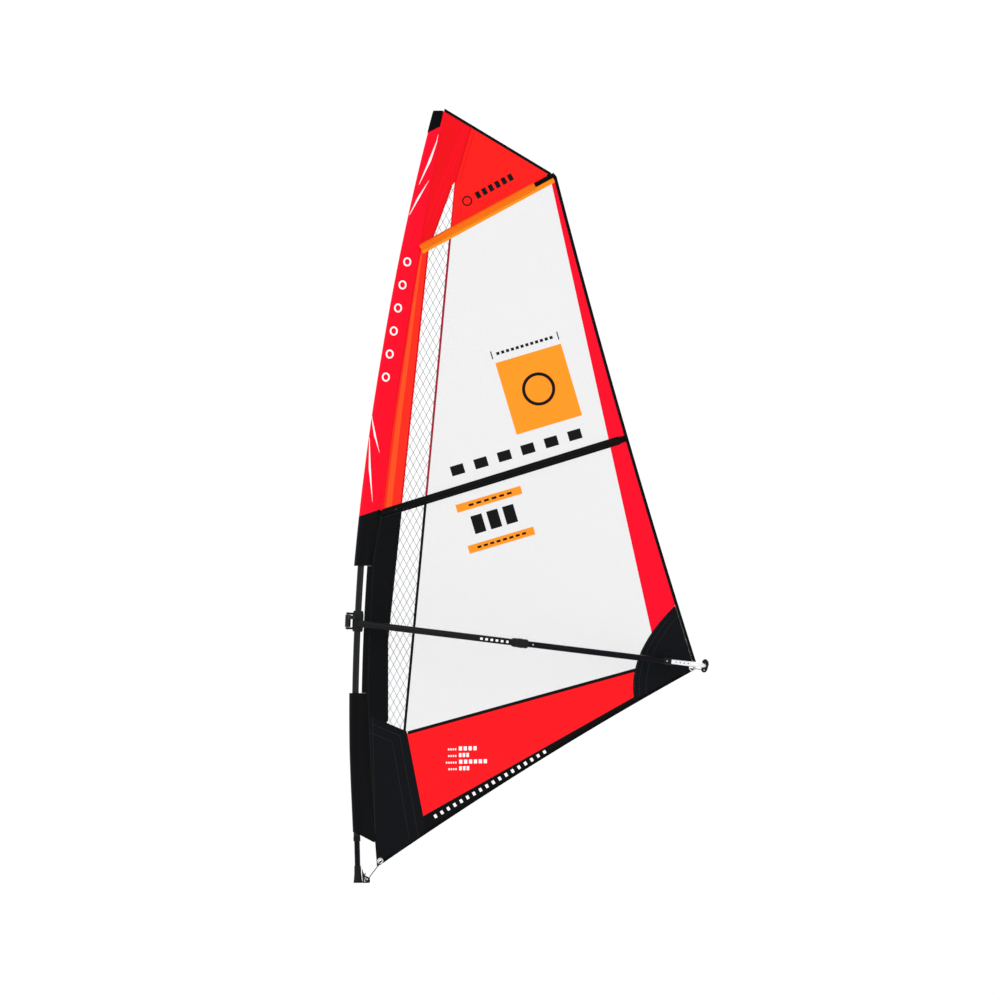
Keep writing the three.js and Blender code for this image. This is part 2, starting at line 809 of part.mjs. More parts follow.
// A grooved wheel about the Y axis.
function sheave(radius, groove, width, bore) {
  const half = width / 2;
  return turned([
    [radius, -half],
    [radius, -half + 1],
    [groove, -1],
    [groove, 1],
    [radius, half - 1],
    [radius, half],
    [bore, half],
    [bore, -half],
    [radius, -half],
  ]).rotateX(Math.PI / 2);
}
for (const [side, sign] of [["port", -1], ["starboard", 1]]) {
  const wheel = sheave(SHEAVE_RADIUS, 7.5, 8.6, AXLE_RADIUS + 0.4);
  const mesh = addPiece(rig, "downhaul_sheave_" + side, wheel, WHITE, 0.4);
  mesh.position.set(SHEAVE_X, sign * SHEAVE_OFFSET, SHEAVE_Z);
}

// A clam cleat on the port cheek of the pulley block.
function cleat(length, width, height) {
  const jaw = new THREE.Shape();
  jaw.moveTo(-width / 2, 0);
  jaw.lineTo(width / 2, 0);
  jaw.lineTo(width / 2, height);
  jaw.lineTo(1, height * 0.35);
  jaw.lineTo(-1, height * 0.35);
  jaw.lineTo(-width / 2, height);
  const body = new THREE.ExtrudeGeometry(jaw, { depth: length, bevelEnabled: false });
  return body.translate(0, 0, -length / 2);
}
const downhaulCleat = addPiece(rig, "downhaul_cleat", cleat(26, 10, 8), WHITE, 0.5);
downhaulCleat.rotation.z = Math.PI;
downhaulCleat.position.set(38, -(BLOCK_WIDTH / 2 + 0.4), 20);

// The downhaul: up from one sheave, through the tack ring and down to the other.
const LINE_RADIUS = 2.4;
function downhaulLine() {
  const low = SHEAVE_Z - 1;
  const ringY = camber(TACK_RING_X, TACK_RING_Z);
  const aft = SHEAVE_X + 7.5 + LINE_RADIUS + 0.5;
  const points = [
    [aft, -SHEAVE_OFFSET, low],
    [aft + 6, -SHEAVE_OFFSET, low + 16],
    [TACK_RING_X - 9, ringY - 9.5, TACK_RING_Z - 22],
    [TACK_RING_X - 1, ringY - 7.5, TACK_RING_Z - 3],
    [TACK_RING_X, ringY, TACK_RING_Z - 2],
    [TACK_RING_X - 1, ringY + 7.5, TACK_RING_Z - 3],
    [TACK_RING_X - 9, ringY + 9.5, TACK_RING_Z - 22],
    [aft + 6, SHEAVE_OFFSET, low + 16],
    [aft, SHEAVE_OFFSET, low],
  ].map(([x, y, z]) => new THREE.Vector3(x, y, z));
  return alongPath(points, disc(LINE_RADIUS), 30, 3);
}
addPiece(rig, "downhaul_line", downhaulLine(), WHITE, 0.9);

// ---------------------------------------------------------------- boom head

const head = new THREE.Group();
head.position.set(HEAD_X, 0, HEAD_Z);
head.rotation.y = HEAD_TILT;
rig.add(head);

const JAW_INNER = 34.5;
const JAW_OUTER = 46;
const LEVER_PIN_RADIUS = 4;
function boomHead() {
  const bodyOutline = [
    [25.5, -HEAD_HALF],
    [27.5, -HEAD_HALF + 6],
    [HEAD_RADIUS, -34],
    [HEAD_RADIUS, 34],
    [27.5, HEAD_HALF - 6],
    [25.5, HEAD_HALF],
    [HEAD_BORE, HEAD_HALF],
    [HEAD_BORE, -HEAD_HALF],
    [25.5, -HEAD_HALF],
  ];
  const collar = turned(bodyOutline, 20);
  const jaw = new THREE.Shape();
  jaw.moveTo(-24, -14);
  jaw.lineTo(-24, 14);
  jaw.lineTo(-50, 11);
  jaw.absarc(LEVER_X, 0, 11, Math.PI / 2, (3 * Math.PI) / 2);
  jaw.lineTo(-50, -11);
  const lug = new THREE.ExtrudeGeometry(jaw, {
    depth: JAW_OUTER - JAW_INNER,
    bevelEnabled: false,
    curveSegments: 8,
  });
  const upper = lug.clone().translate(0, 0, JAW_INNER);
  const lower = lug.clone().translate(0, 0, -JAW_OUTER);
  const trunnions = [-1, 1].map((side) =>
    crossRod(TRUNNION_RADIUS, 25, 54)
      .rotateZ(side > 0 ? 0 : Math.PI)
      .translate(0, 0, -TRUNNION_DROP),
  );
  const pinHole = rod(LEVER_PIN_RADIUS + 0.3, -60, 60).translate(LEVER_X, 0, 0);
  const core = rod(HEAD_BORE, -70, 70, 20);
  return cut(join(collar, upper, lower, ...trunnions), pinHole, core);
}
addPiece(head, "boom_head", boomHead(), BLACK, 0.45);

const liner = turned(tubeOutline(22.9, 20.5, -HEAD_HALF + 4, HEAD_HALF - 4));
addPiece(head, "head_liner", liner, SOFT_BLACK, 0.9);

const leverPin = rod(LEVER_PIN_RADIUS, -JAW_OUTER - 1.5, JAW_OUTER + 1.5).translate(LEVER_X, 0, 0);
addPiece(head, "lever_pin", leverPin, STEEL, 0.25, 1);

// The cam lever: a barrel on the pin and a handle folded back along the port side of the collar.
function clampLever() {
  const barrel = rod(15.5, -JAW_INNER + 1, JAW_INNER - 1, 16).translate(LEVER_X, 0, 0);
  const handle = new THREE.Shape();
  handle.moveTo(LEVER_X - 6, -8);
  handle.quadraticCurveTo(LEVER_X + 6, -38, -34, -39);
  handle.lineTo(-14, -38);
  handle.quadraticCurveTo(-10, -36, -14, -34);
  handle.lineTo(-30, -34);
  handle.quadraticCurveTo(LEVER_X + 14, -30, LEVER_X + 6, -6);
  const bar = new THREE.ExtrudeGeometry(handle, { depth: 21, bevelEnabled: false, curveSegments: 6 });
  const bore = rod(LEVER_PIN_RADIUS + 0.4, -60, 60).translate(LEVER_X, 0, 0);
  return cut(join(barrel, bar.translate(0, 0, 9.5)), bore);
}
addPiece(head, "clamp_lever", clampLever(), SOFT_BLACK, 0.35);

// ---------------------------------------------------------------- boom arms and tail

const boom = new THREE.Group();
boom.position.set(
  HEAD_X - TRUNNION_DROP * Math.sin(HEAD_TILT),
  0,
  HEAD_Z - TRUNNION_DROP * Math.cos(HEAD_TILT),
);
boom.rotation.y = BOOM_TILT;
rig.add(boom);

// Half width of the wishbone along its length, through these stations.
const ARM_BOW = [
  [6, 44],
  [60, 72],
  [180, 124],
  [360, 176],
  [560, 203],
  [760, 199],
  [1000, 152],
  [1220, 98],
  [1380, TAIL_HALF_WIDTH],
  [1500, TAIL_HALF_WIDTH],
  [ARM_END, TAIL_HALF_WIDTH],
];
const armCurve = new THREE.CatmullRomCurve3(
  ARM_BOW.map(([x, y]) => new THREE.Vector3(x, y, 0)),
  false,
  "centripetal",
);

function armPoint(x) {
  let low = 0;
  let high = 1;
  for (let i = 0; i < 40; i += 1) {
    const middle = (low + high) / 2;
    if (armCurve.getPoint(middle).x < x) low = middle;
    else high = middle;
  }
  return armCurve.getPoint((low + high) / 2);
}

function armRun(from, to, outer, inner, steps, side) {
  const points = [];
  for (let i = 0; i <= steps; i += 1) {
    const p = armPoint(lerp(from, to, i / steps));
    points.push(new THREE.Vector3(p.x, side * p.y, 0));
  }
  return alongPath(points, disc(outer, inner), steps, 5);
}

function knuckle(side) {
  return crossRod(14, 33, 52).rotateZ(side > 0 ? 0 : Math.PI);
}

const COUPLER_HALF = 44;
const COUPLER_RADIUS = 26;
const COUPLER_BUTTON_X = 962;
const TAIL_BUTTON_X = 1698;
const PIN_RADIUS = 4;

// A push pin through the outboard wall of a rear arm.
function armPin(name, x, side, color) {
  const p = armPoint(x);
  const pin = crossRod(PIN_RADIUS, ARM_BORE + 0.9, ARM_RADIUS + 4.2).rotateZ(side > 0 ? 0 : Math.PI);
  addPiece(boom, name, pin, color, 0.3, 0.6).position.set(p.x, side * p.y, 0);
}

for (const [name, side] of [["port", -1], ["starboard", 1]]) {
  const bore = crossRod(TRUNNION_RADIUS + 0.4, -80, 80);
  const clearance = crossRod(13, -33, 33);
  const grip = armRun(6, ARM_SPLIT - GAP, GRIP_RADIUS, ARM_BORE, 10, side);
  const front = cut(join(grip, knuckle(side)), bore, clearance);
  addPiece(boom, "front_arm_" + name, front, SOFT_BLACK, 0.85);

  const pinHole = (x) => {
    const p = armPoint(x);
    return crossRod(PIN_RADIUS + 0.4, ARM_BORE - 4, ARM_RADIUS + 8)
      .rotateZ(side > 0 ? 0 : Math.PI)
      .translate(p.x, side * p.y, 0);
  };
  const tubeRun = armRun(ARM_SPLIT + GAP, ARM_END, ARM_RADIUS, ARM_BORE, 8, side);
  const rear = cut(tubeRun, pinHole(COUPLER_BUTTON_X), pinHole(TAIL_BUTTON_X));
  addPiece(boom, "rear_arm_" + name, rear, BLACK, 0.4);

  const [from, to] = [ARM_SPLIT - COUPLER_HALF, ARM_SPLIT + COUPLER_HALF];
  const coupler = armRun(from, to, COUPLER_RADIUS, GRIP_RADIUS + 1, 2, side);
  addPiece(boom, "arm_coupler_" + name, coupler, SOFT_BLACK, 0.45);
  armPin("coupler_button_" + name, COUPLER_BUTTON_X, side, SILVER);
  armPin("tail_button_" + name, TAIL_BUTTON_X, side, SILVER);
}

// The tail: two straight legs and a half-round end.
function tailPath() {
  const points = [];
  for (const x of [TAIL_INNER_END, 1540, 1680, TAIL_BEND_X]) points.push([x, -TAIL_HALF_WIDTH]);
  for (let i = 1; i < 8; i += 1) {
    const a = (i / 8) * Math.PI - Math.PI / 2;
    points.push([TAIL_BEND_X + TAIL_HALF_WIDTH * Math.cos(a), TAIL_HALF_WIDTH * Math.sin(a)]);
  }
  for (const x of [TAIL_BEND_X, 1680, 1540, TAIL_INNER_END]) points.push([x, TAIL_HALF_WIDTH]);
  return points.map(([x, y]) => new THREE.Vector3(x, y, 0));
}
addPiece(boom, "tail_tube", alongPath(tailPath(), disc(TAIL_RADIUS, TAIL_BORE), 24, 4), SILVER, 0.35, 0.8);

const FITTING_X = TAIL_BEND_X + TAIL_HALF_WIDTH; // the tail's middle
const OUTHAUL_X = FITTING_X - 1;
const OUTHAUL_Z = -25;
function tailFitting() {
  const side = new THREE.Shape();
  side.moveTo(FITTING_X - 17, -20);
  side.quadraticCurveTo(FITTING_X - 16, -38, FITTING_X, -38);
  side.quadraticCurveTo(FITTING_X + 14, -36, FITTING_X + 17, -18);
  side.lineTo(FITTING_X + 21, 8);
  side.quadraticCurveTo(FITTING_X + 18, 34, FITTING_X - 2, 36);
  side.quadraticCurveTo(FITTING_X - 17, 32, FITTING_X - 18, 12);
  const channel = alongPath(tailPath(), disc(TAIL_RADIUS + 0.5), 24, 4);
  const slot = block(FITTING_X - 40, FITTING_X + 13, -4.6, 4.6, -50, -14.2);
  const bore = crossRod(AXLE_RADIUS + 0.3, -50, 50).translate(OUTHAUL_X, 0, OUTHAUL_Z);
  return cut(plate(side, 56), channel, slot, bore);
}
addPiece(boom, "tail_fitting", tailFitting(), BLACK, 0.5);

const outhaulSheave = sheave(9.5, 6.5, 8.2, AXLE_RADIUS + 0.4);
const outhaulAxle = crossRod(AXLE_RADIUS, -27, 27);
addPiece(boom, "outhaul_sheave", outhaulSheave, WHITE, 0.4).position.set(OUTHAUL_X, 0, OUTHAUL_Z);
addPiece(boom, "outhaul_axle", outhaulAxle, STEEL, 0.3, 1).position.set(OUTHAUL_X, 0, OUTHAUL_Z);

// A cleat hangs under the port leg of the tail.
const outhaulCleat = addPiece(boom, "outhaul_cleat", cleat(22, 12, 9), WHITE, 0.5);
outhaulCleat.rotation.setFromRotationMatrix(
  new THREE.Matrix4().makeBasis(
    new THREE.Vector3(0, 1, 0),
    new THREE.Vector3(0, 0, -1),
    new THREE.Vector3(-1, 0, 0),
  ),
);
outhaulCleat.position.set(1832, -TAIL_HALF_WIDTH, -TAIL_RADIUS - 0.6);

// The outhaul: from the sheave forward through the clew ring and back towards the port leg.
function outhaulLine() {
  const ring = boom.worldToLocal(
    new THREE.Vector3(CLEW_RING_X, camber(CLEW_RING_X, CLEW_RING_Z), CLEW_RING_Z),
  );
  const fore = OUTHAUL_X - 6.5 - LINE_RADIUS - 0.5;
  const points = [
    [fore, 0, OUTHAUL_Z - 1],
    [fore - 14, ring.y + 5, OUTHAUL_Z + 1],
    [ring.x + 16, ring.y + 8.5, ring.z],
    [ring.x + 3, ring.y + 7, ring.z],
    [ring.x + 2, ring.y, ring.z],
    [ring.x + 3, ring.y - 7, ring.z],
    [ring.x + 14, ring.y - 20, ring.z - 1],
    [ring.x + 14, -TAIL_HALF_WIDTH + 20, ring.z - 1],
  ].map(([x, y, z]) => new THREE.Vector3(x, y, z));
  return alongPath(points, disc(LINE_RADIUS), 24, 3);
}
boom.updateWorldMatrix(true, false);
addPiece(boom, "outhaul_line", outhaulLine(), WHITE, 0.9);

export default rig;
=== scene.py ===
"""A windsurf rig: cloth, film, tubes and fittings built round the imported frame. Metres, +X aft, +Z up."""

import json
import math

import bpy
import numpy as np
from mathutils import Matrix, Vector


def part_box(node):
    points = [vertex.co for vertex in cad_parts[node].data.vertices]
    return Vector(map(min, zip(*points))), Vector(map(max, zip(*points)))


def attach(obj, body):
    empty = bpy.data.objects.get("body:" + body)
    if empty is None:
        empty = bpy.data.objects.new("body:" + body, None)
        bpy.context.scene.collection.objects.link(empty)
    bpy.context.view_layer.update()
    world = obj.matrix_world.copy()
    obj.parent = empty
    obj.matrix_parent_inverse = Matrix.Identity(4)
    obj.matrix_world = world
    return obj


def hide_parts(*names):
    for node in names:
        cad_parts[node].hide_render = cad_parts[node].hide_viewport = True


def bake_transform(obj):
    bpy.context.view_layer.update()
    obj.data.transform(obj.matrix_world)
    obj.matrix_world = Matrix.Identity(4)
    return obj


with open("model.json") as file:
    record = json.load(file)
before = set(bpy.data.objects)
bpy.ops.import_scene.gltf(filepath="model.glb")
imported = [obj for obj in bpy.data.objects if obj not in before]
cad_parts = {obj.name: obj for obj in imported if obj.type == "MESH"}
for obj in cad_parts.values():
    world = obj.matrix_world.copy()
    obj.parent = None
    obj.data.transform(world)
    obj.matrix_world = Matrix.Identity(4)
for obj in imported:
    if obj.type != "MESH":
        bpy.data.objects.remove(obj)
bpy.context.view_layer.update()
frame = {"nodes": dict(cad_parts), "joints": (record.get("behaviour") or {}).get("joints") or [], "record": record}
nodes = frame["nodes"]
joints = {j["name"]: j for j in frame["joints"]}

# ---------------------------------------------------------------- the rig's driving shapes

MAST_LEAN = -0.024
BEND_START = 0.5
BEND_RATE = 0.0383  # curve of the bent mast, per metre
MAST_RADIUS = 0.018
MAST_TIP_RADIUS = 0.0105
MAST_TAPER_START = 1.7
MAST_TOP_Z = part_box("mast_upper")[1].z
CUTOUT_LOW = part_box("luff_sleeve_lower")[1].z
CUTOUT_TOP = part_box("luff_sleeve_middle")[0].z
CUTOUT_EDGE = 0.034

CLEW = (1.853, 1.172)
TACK = (0.104, 0.087)
HEAD_CORNER = (1.082, 3.853)
PEAK_X = 0.485
SEAM_FOOT = (3.815, 0.5297)  # (z, x) where the head seam leaves the scrim's aft edge
SEAM_HEAD = (4.131, 0.621)
SCRIM_TOP = 3.79
TAPE = 0.018
CLOTH = 0.0007
CLOTH_CELL = 0.016
DRAFT = 0.045  # deepest camber, per metre of chord
TWIST = 0.06
FLAT_BEHIND_MAST = 0.025


def line(a, b):
    """The straight line through two (input, output) points."""
    return lambda t: b[1] + (t - b[0]) * (b[1] - a[1]) / (b[0] - a[0])


def runs(*points):
    """Straight runs between (input, output) points, carried on past both ends."""
    xs = np.array([p[0] for p in points])
    ys = np.array([p[1] for p in points])
    first = line(points[0], points[1])
    last = line(points[-2], points[-1])

    def value(t):
        t = np.asarray(t, float)
        inside = np.interp(t, xs, ys)
        return np.where(t < xs[0], first(t), np.where(t > xs[-1], last(t), inside))

    return value


def shifted(edge, offset):
    """An edge moved along the axis it gives."""
    return lambda t: edge(t) + offset


def smooth(t):
    t = np.clip(t, 0, 1)
    return t * t * (3 - 2 * t)


def mast_x(z):
    return MAST_LEAN * z + BEND_RATE * np.maximum(0, z - BEND_START) ** 2


def mast_radius(z):
    t = np.clip((z - MAST_TAPER_START) / (MAST_TOP_Z - MAST_TAPER_START), 0, 1)
    return MAST_RADIUS + (MAST_TIP_RADIUS - MAST_RADIUS) * t


# How far the sleeve stands out before and behind the mast's centre line at a height.
sleeve_front = runs(
    (0.272, 0.0215), (0.725, 0.031), (1.035, 0.034), (1.733, 0.038), (2.3, 0.028), (2.96, 0.019),
    (4.204, 0.0145)
)
sleeve_aft = runs(
    (0.234, 0.098), (0.91, 0.07), (1.03, 0.063), (1.76, 0.062), (2.01, 0.085), (2.941, 0.09),
    (3.5, 0.078), (4.19, 0.045)
)

# Edges that give x at a height.
seam_x = lambda z: mast_x(z) + sleeve_aft(z)
luff_aft = runs(
    (0.877, 0.158), (1.324, 0.158), (3.45, 0.3815), (3.804, 0.512), (3.815, 0.528), SEAM_HEAD
)
scrim_aft = line((0.8284, 0.2534), SEAM_FOOT)
head_seam = line(SEAM_FOOT, SEAM_HEAD)
leech_fore = line((1.352, 1.606), (3.777, 1.066))
tack_aft = line((0.2616, 0.376), (0.8175, 0.267))
tack_front = line((0.094, 0.103), (0.220, 0.0933))
BOW_X, BOW_Z, BOW_RATE = 1.499, 1.069, 1.17  # the clew patch's bowed front edge
clew_arc = lambda z: BOW_X + BOW_RATE * (z - BOW_Z) ** 2
clew_arc_top = lambda x: BOW_Z + np.sqrt(np.maximum(0, x - BOW_X) / BOW_RATE)


def leech_x(z):
    t = (z - CLEW[1]) / (HEAD_CORNER[1] - CLEW[1])
    return CLEW[0] + (HEAD_CORNER[0] - CLEW[0]) * t - 0.08 * t * (1 - t)


# Edges that give z at a station along X.
head_z = line((PEAK_X, 4.213), HEAD_CORNER)
top_batten = line((0.340, 3.462), (1.068, 3.857))
mid_batten = line((0.117, 2.009), (1.466, 2.425))
foot_seam = line((0.272, 0.818), (1.5189, 1.163))
foot_band = line((0.3553, 0.364), (1.5004, 1.0104))
tack_top = line((0.0578, 0.9145), (0.2616, 0.8284))
sleeve_break = line((0, 1.996), (0.220, 2.070))
sleeve_hem = runs((-0.030, 0.279), (-0.010, 0.272), (0.087, 0.222))
cap_hem = line((0.384, 4.090), (0.447, 4.125))


def foot_z(x):
    t = (x - TACK[0]) / (CLEW[0] - TACK[0])
    return TACK[1] + (CLEW[1] - TACK[1]) * t + 0.124 * t * (1 - t)


def camber(x, z):
    """How far the sail's middle plane stands to starboard."""
    start = mast_x(z) + FLAT_BEHIND_MAST
    chord = CLEW[0] - 0.2875 * (z - CLEW[1]) - start
    u = np.clip((x - start) / chord, 0, 1.05)
    depth = DRAFT * chord * 6.75 * u * (1 - u) ** 2
    height = np.maximum(0, (z - CLEW[1]) / (HEAD_CORNER[1] - CLEW[1]))
    return depth * smooth((z - 0.09) / 0.81) + TWIST * height * height * u * u


def creases(x, z):
    """Shallow tension creases: fans from the clew and tack, and short puckers along the luff seam."""
    total = np.zeros_like(x)
    for (cx, cz), count, start in ((CLEW, 34, 2.35), (TACK, 26, 0.55)):
        distance = np.hypot(x - cx, z - cz)
        angle = np.arctan2(z - cz, x - cx) + start
        fade = smooth(distance / 0.12) * np.exp(-distance / 0.42)
        total += 0.0016 * np.sin(angle * count + 0.7 * np.sin(angle * 9)) * fade
    behind = np.clip(x - seam_x(z), 0, 1)
    pucker = np.sin(z * 70 + 2.1 * np.sin(z * 11)) * np.exp(-behind / 0.07)
    total += 0.0011 * pucker * smooth(behind / 0.02)
    total += 0.0018 * np.sin(x * 5.3 + z * 2.1) * np.sin(z * 3.7 - x * 1.9) * smooth(behind / 0.3)
    return total


def surface(x, z):
    """The y of the sail's middle plane with its creases, which die out at the leech."""
    edge = smooth((leech_x(z) - x) / 0.05)
    return camber(x, z) + creases(x, z) * edge


# ---------------------------------------------------------------- materials

def srgb(r, g, b):
    """A material colour from eight-bit display values."""
    def channel(v):
        v /= 255
        return v / 12.92 if v <= 0.04045 else ((v + 0.055) / 1.055) ** 2.4
    return (channel(r), channel(g), channel(b), 1)


MATERIALS = {}


class Nodes:
    """Short calls for building a material's node tree. The material joins MATERIALS under its name."""

    def __init__(self, name):
        self.material = MATERIALS[name] = bpy.data.materials.new(name)
        self.material.use_nodes = True
        self.tree = self.material.node_tree
        self.shader = self.tree.nodes["Principled BSDF"]

    def add(self, kind, **values):
        node = self.tree.nodes.new(kind)
        for key, value in values.items():
            if key in node.inputs:
                node.inputs[key].default_value = value
            else:
                setattr(node, key, value)
        return node

    def link(self, source, target):
        self.tree.links.new(source, target)

    def position(self, scale=(1, 1, 1)):
        place = self.add("ShaderNodeTexCoord")
        mapping = self.add("ShaderNodeMapping", Scale=scale)
        self.link(place.outputs["Object"], mapping.inputs["Vector"])
        return mapping.outputs["Vector"]

    def vary(self, rgb, amount, scale):
        """Base colour that drifts lighter and darker by an amount."""
        color = srgb(*rgb)
        noise = self.add("ShaderNodeTexNoise", Scale=scale, Detail=4.0)
        self.link(self.position(), noise.inputs["Vector"])
        ramp = self.add("ShaderNodeMix", data_type="RGBA")
        darker = [c * (1 - amount) for c in color[:3]] + [1]
        lighter = [min(1, c * (1 + amount)) for c in color[:3]] + [1]
        ramp.inputs[6].default_value = darker
        ramp.inputs[7].default_value = lighter
        self.link(noise.outputs["Fac"], ramp.inputs["Factor"])
        self.link(ramp.outputs[2], self.shader.inputs["Base Color"])
        return noise

    def bump(self, height, strength, distance):
        node = self.add("ShaderNodeBump", Strength=strength, Distance=distance)
        self.link(height, node.inputs["Height"])
        self.link(node.outputs["Normal"], self.shader.inputs["Normal"])

    def set(self, **values):
        for key, value in values.items():
            self.shader.inputs[key.replace("_", " ")].default_value = value


def cloth_material(name, rgb, pitch=0.0011, sheen=0.04, roughness=0.62, shine=0.07):
    """Woven sailcloth: crossed threads, a slight drift in colour, soft sheen."""
    n = Nodes(name)
    n.vary(rgb, 0.05, 5)
    across = n.add("ShaderNodeTexWave", Scale=1.0, Distortion=0.4, bands_direction="X")
    along = n.add("ShaderNodeTexWave", Scale=1.0, Distortion=0.4, bands_direction="Z")
    turns = 0.314 / pitch
    for wave in (across, along):
        n.link(n.position((turns, turns, turns)), wave.inputs["Vector"])
    weave = n.add("ShaderNodeMath", operation="ADD")
    n.link(across.outputs["Fac"], weave.inputs[0])
    n.link(along.outputs["Fac"], weave.inputs[1])
    n.bump(weave.outputs["Value"], 0.18, 0.0003)
    n.set(Roughness=roughness, Sheen_Weight=sheen, Sheen_Roughness=0.4, Specular_IOR_Level=shine)


def film_material(name, rgb, alpha):
    """Clear sail film: mostly see-through, faintly rippled and glossy."""
    n = Nodes(name)
    noise = n.vary(rgb, 0.012, 2.2)
    n.bump(noise.outputs["Fac"], 0.08, 0.004)
    n.set(Alpha=alpha, Roughness=0.12, Specular_IOR_Level=0.5)


def moulded_material(name, rgb, roughness=0.45, grain=900, depth=0.00012):
    """Moulded plastic or rubber with a fine spark-eroded grain."""
    n = Nodes(name)
    n.vary(rgb, 0.12, 30)
    grain_noise = n.add("ShaderNodeTexNoise", Scale=grain, Detail=2.0)
    n.link(n.position(), grain_noise.inputs["Vector"])
    n.bump(grain_noise.outputs["Fac"], 0.35, depth)
    n.set(Roughness=roughness, Specular_IOR_Level=0.16)


def metal_material(name, rgb, roughness):
    """Drawn or brushed metal: fine lines along X, a little wear in the roughness."""
    n = Nodes(name)
    n.vary(rgb, 0.04, 12)
    lines = n.add("ShaderNodeTexNoise", Scale=1.0, Detail=3.0)
    n.link(n.position((4, 400, 400)), lines.inputs["Vector"])
    ramp = n.add("ShaderNodeMapRange")
    ramp.inputs["To Min"].default_value = roughness * 0.75
    ramp.inputs["To Max"].default_value = roughness * 1.3
    n.link(lines.outputs["Fac"], ramp.inputs["Value"])
    n.link(ramp.outputs["Result"], n.shader.inputs["Roughness"])
    n.bump(lines.outputs["Fac"], 0.05, 0.0001)
    n.set(Metallic=1.0)


def laminate_material(name):
    """Black mast laminate: unidirectional fibres crossed by a faint winding, under clear resin."""
    n = Nodes(name)
    n.vary((12, 13, 15), 0.3, 60)
    wave = n.add("ShaderNodeTexWave", Scale=1.0, Distortion=1.5, bands_direction="DIAGONAL")
    n.link(n.position((90, 90, 90)), wave.inputs["Vector"])
    n.bump(wave.outputs["Fac"], 0.12, 0.0002)
    n.set(Roughness=0.3, Specular_IOR_Level=0.15, Coat_Weight=0.12, Coat_Roughness=0.12)


def rope_material(name, rgb, fleck):
    """Braided rope: a diagonal plait with coloured flecks."""
    n = Nodes(name)
    wave = n.add("ShaderNodeTexWave", Scale=1.0, Distortion=2.0, bands_direction="DIAGONAL")
    n.link(n.position((150, 150, 150)), wave.inputs["Vector"])
    mix = n.add("ShaderNodeMix", data_type="RGBA")
    mix.inputs[6].default_value = srgb(*fleck)
    mix.inputs[7].default_value = srgb(*rgb)
    n.link(wave.outputs["Fac"], mix.inputs["Factor"])
    n.link(mix.outputs[2], n.shader.inputs["Base Color"])
    n.bump(wave.outputs["Fac"], 0.6, 0.0006)
    n.set(Roughness=0.85)


cloth_material("red_cloth", (250, 6, 38))
cloth_material("dark_red_cloth", (228, 10, 22))
cloth_material("head_red_cloth", (252, 27, 24))
cloth_material("orange_red_cloth", (255, 42, 26))
cloth_material("foot_red_cloth", (253, 22, 30))
cloth_material("seam_red", (150, 30, 48), sheen=0.1)
cloth_material("edge_red", (205, 14, 26), sheen=0.1)
cloth_material("orange_cloth", (240, 104, 8))
cloth_material("light_orange_cloth", (250, 140, 22))
# Lighter orange, painted onto the luff panel as a highlight band.
cloth_material("highlight_orange_cloth", (255, 78, 30))
cloth_material("graphic_orange", (250, 146, 34), sheen=0.0, roughness=0.4)
cloth_material("graphic_black", (16, 16, 17), sheen=0.0, roughness=0.4)
cloth_material("graphic_white", (250, 246, 246), sheen=0.0, roughness=0.45)
cloth_material("black_cloth", (5, 6, 8), sheen=0.02, roughness=0.5)
cloth_material("patch_cloth", (8, 11, 15), pitch=0.0016, sheen=0.02, roughness=0.5)
cloth_material("black_webbing", (5, 5, 6), pitch=0.0024, sheen=0.02, roughness=0.8)
film_material("clear_film", (208, 208, 210), 0.26)
film_material("scrim_film", (250, 250, 250), 0.4)
cloth_material("scrim_thread", (136, 142, 145), sheen=0.0)
cloth_material("grey_thread", (46, 51, 54), pitch=0.0004, sheen=0.0)
cloth_material("red_thread", (190, 20, 36), pitch=0.0004, sheen=0.0)
moulded_material("batten_glassfibre", (222, 224, 212), 0.35)
laminate_material("mast_laminate")
metal_material("anodised_black", (24, 25, 29), 0.34)
metal_material("silver_aluminium", (236, 237, 240), 0.36)
metal_material("stainless_steel", (206, 207, 208), 0.22)
moulded_material("black_plastic", (10, 11, 12))
moulded_material("lever_plastic", (24, 27, 30), 0.3)
moulded_material("white_nylon", (232, 231, 226), 0.4)
moulded_material("grip_rubber", (12, 12, 13), 0.85, 500, 0.0003)
moulded_material("grip_foam", (10, 11, 12), 0.55, 700, 0.0004)
rope_material("rope", (214, 214, 210), (90, 92, 96))
rope_material("dark_rope", (16, 16, 18), (60, 61, 64))


# ---------------------------------------------------------------- mesh helpers

RIG_SLOTS = {part["node"]: part["material_slot"] for part in frame["record"]["subparts"]}
SHARP = math.radians(38)


def piece(name, verts, faces, material, body, node=None, sharp=SHARP):
    """A new mesh that rides on a body, if one is named, and stands for a CAD node, if one is named."""
    mesh = bpy.data.meshes.new(name)
    mesh.from_pydata([tuple(v) for v in verts], [], [tuple(f) for f in faces])
    mesh.validate()
    mesh.polygons.foreach_set("use_smooth", [True] * len(mesh.polygons))
    mesh.set_sharp_from_angle(angle=sharp)
    mesh.materials.append(MATERIALS[material])
    obj = bpy.data.objects.new(name, mesh)
    bpy.context.scene.collection.objects.link(obj)
    if body:
        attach(obj, body)
    if node:
        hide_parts(node)
    return obj


